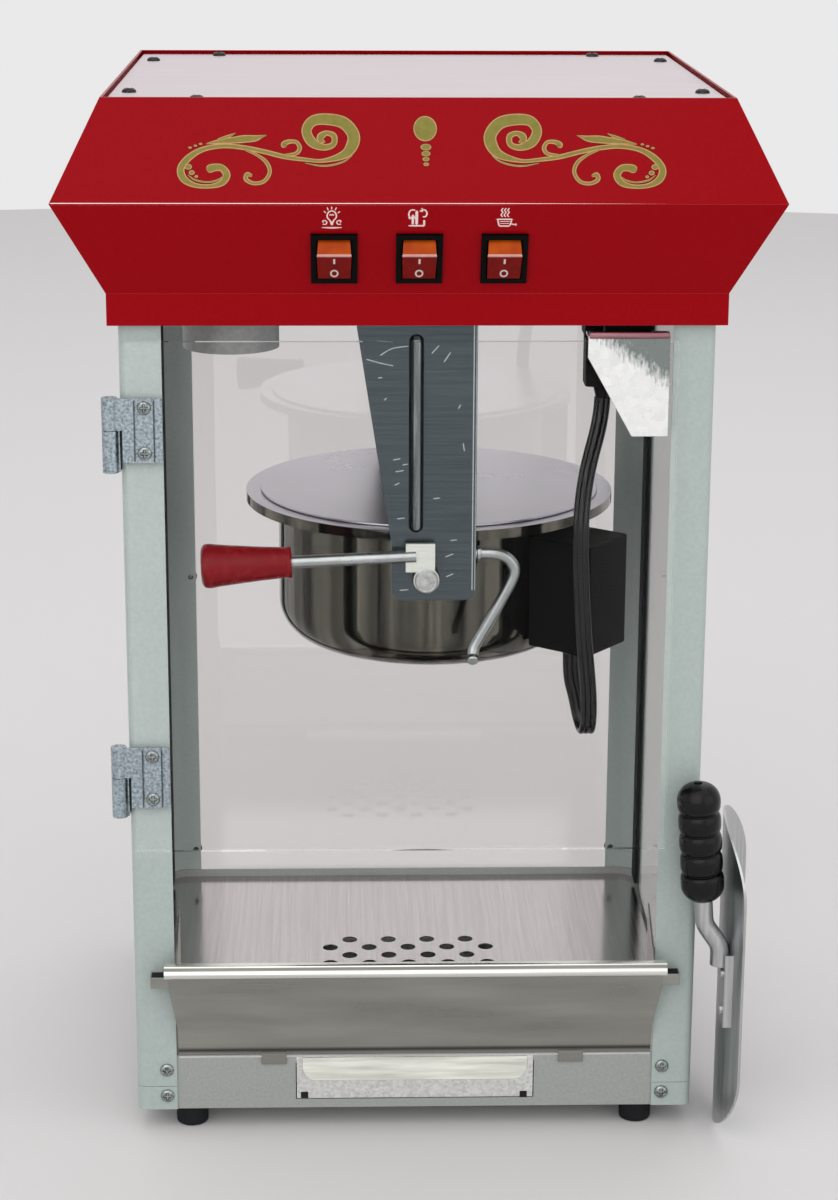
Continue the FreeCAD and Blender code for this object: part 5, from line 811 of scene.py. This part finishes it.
# A dark line of painted shade runs just above its foot.
SHADE_LINE_HEIGHT = 53.1
tree = guard_steel.node_tree
height = add_node(tree, "SeparateXYZ", {"Vector": add_node(tree, "TexCoord").outputs["Object"]})
from_shade_line = add_node(tree, "Math", {0: height.outputs["Z"], 1: SHADE_LINE_HEIGHT * MM}, operation="SUBTRACT")
from_shade_line = add_node(tree, "Math", {0: from_shade_line.outputs[0]}, operation="ABSOLUTE")
shade = add_node(tree, "MapRange", {"Value": from_shade_line.outputs[0], "From Min": 0.0003, "From Max": 0.0024,
                                    "To Min": 0.85, "To Max": 0.0})
overlay(guard_steel, shade.outputs["Result"], "#32312E")
# Its head is a flat band rolled over into a hem, whose roll is painted pale as a highlight: a profile of (y,
# z) carried across and closed by a fan at each end.
HEM = np.array([(-166.2, 112.5), (-166.2, 115.2), (-166.6, 116), (-170.4, 116.1), (-171.5, 115.8),
                (-171.9, 115.2), (-171.9, 113.7), (-172.6, 113.2), (-173.5, 112.2), (-173.9, 110.7),
                (-173.5, 109.2), (-172.4, 108.1), (-170.9, 107.7), (-169, 108), (-168, 109.5),
                (-166.2, 112.5)])
HEM_END = 148.6
hem_x = np.array([-HEM_END, -HEM_END, HEM_END, HEM_END])[:, None, None] * np.ones((4, len(HEM), 1))
fan = HEM * 0 + HEM.mean(0)
hem = np.concatenate([hem_x, np.array([fan, HEM, HEM, fan])], -1)
hem_highlight_steel = finish("hem_painted_highlight", "#DCDCD6", "#EAEAE5", (120, 2, 2), (0.16, 0.24), 1.0)
rolled_hem = piece("guard_rolled_hem", [hem], hem_highlight_steel, "guard", "stainless")
BAND = (113.3, 115.4)
part_finish(rolled_hem, guard_steel, lambda spot: (spot[:, 2] > BAND[0]) & (spot[:, 2] < BAND[1]))
# Each ear is a folded strip, open along its head, and the opening is a dark sheet of painted shade.
EAR_TOP = 104.86
ear_slot_shade = [np.array([[(x, y, EAR_TOP), (x + 7.4, y, EAR_TOP)] for y in (-161.4, -154.3)])
             for x in (-156.8, 149.4)]
piece("guard_ear_slot_shade", ear_slot_shade, black_rubber, "guard", "stainless", closed=False)

# Drawer: a tray folded from galvanised sheet that slides in the base, with a rolled lip to pull it by.
# Its zinc crystals are small, and the lip is rubbed in long pale streaks.
drawer_zinc = spangled("galvanised_drawer_sheet", "#D9DBD9", "#F7F8F6", 1.6, (0.28, 0.4))
drawer = eased("crumb_drawer", "crumb_tray", 0.3, drawer_zinc, "drawer", "galvanised")
lip_zinc = finish("rolled_lip_zinc", "#9A9A92", "#C3C3BB", (46, 3, 3), (0.3, 0.36), 1.0)
LIP_BACK = -152.1
part_finish(drawer, lip_zinc, lambda spot: spot[:, 1] < LIP_BACK)

# Scoop: a pan rolled from aluminium sheet, a bent rod riveted to it, and a beaded grip pushed on the rod.
# The metal is dull, with long rolling lines, and the grip is black nitrile rubber with a soft gloss.
aluminium = finish("rolled_aluminium", "#A9AAAB", "#C6C7C8", (2, 2, 60), (0.28, 0.4), 1.0)
dress("scoop_pan", aluminium)
dress("scoop_shank", aluminium)
dress("scoop_rivets", aluminium)


def bead(start, length, waist, belly, steps=13):
    """One bead of the grip: waist + (belly - waist) * (1 - |u| ^ 2.6) ^ 0.5 for u from -1 to 1 along it."""
    u = np.linspace(-1, 1, steps)
    return np.stack([waist + (belly - waist) * np.sqrt(np.clip(1 - np.abs(u) ** 2.6, 0, 1)),
                     start + length * (u + 1) / 2], -1)


turn = np.linspace(0, np.pi / 2, 12)[:, None]
foot_dome = np.concatenate([12.8 * np.sin(turn), 10.5 - 10.5 * np.cos(turn)], -1)
head_dome = np.concatenate([2.6 + 10.2 * np.cos(turn), 63.5 + 10.5 * np.sin(turn)], -1)
WAIST = 10.6
grip_profile = np.concatenate([foot_dome, bead(10.5, 8, WAIST, 12.8)[6:], bead(19, 12, WAIST, 12.6),
                               bead(31.5, 12, WAIST, 12.6), bead(44, 12, WAIST, 12.6),
                               bead(56.5, 14, WAIST, 12.8)[:7], head_dome, [(2.2, 72.5), (0, 72.5)]])
grip_black = finish("black_nitrile_grip", "#050506", "#0A0A0B", (3, 3, 3), (0.2, 0.3),
                    Specular_IOR_Level=0.25)
grip = seat(lathe(grip_profile), (169, -168.8, 154), (0.9973, 0, 0.0741), (-0.0741, 0, 0.9973))
piece("beaded_scoop_grip", [grip], grip_black, "scoop", "black_plastic", "scoop_grip")
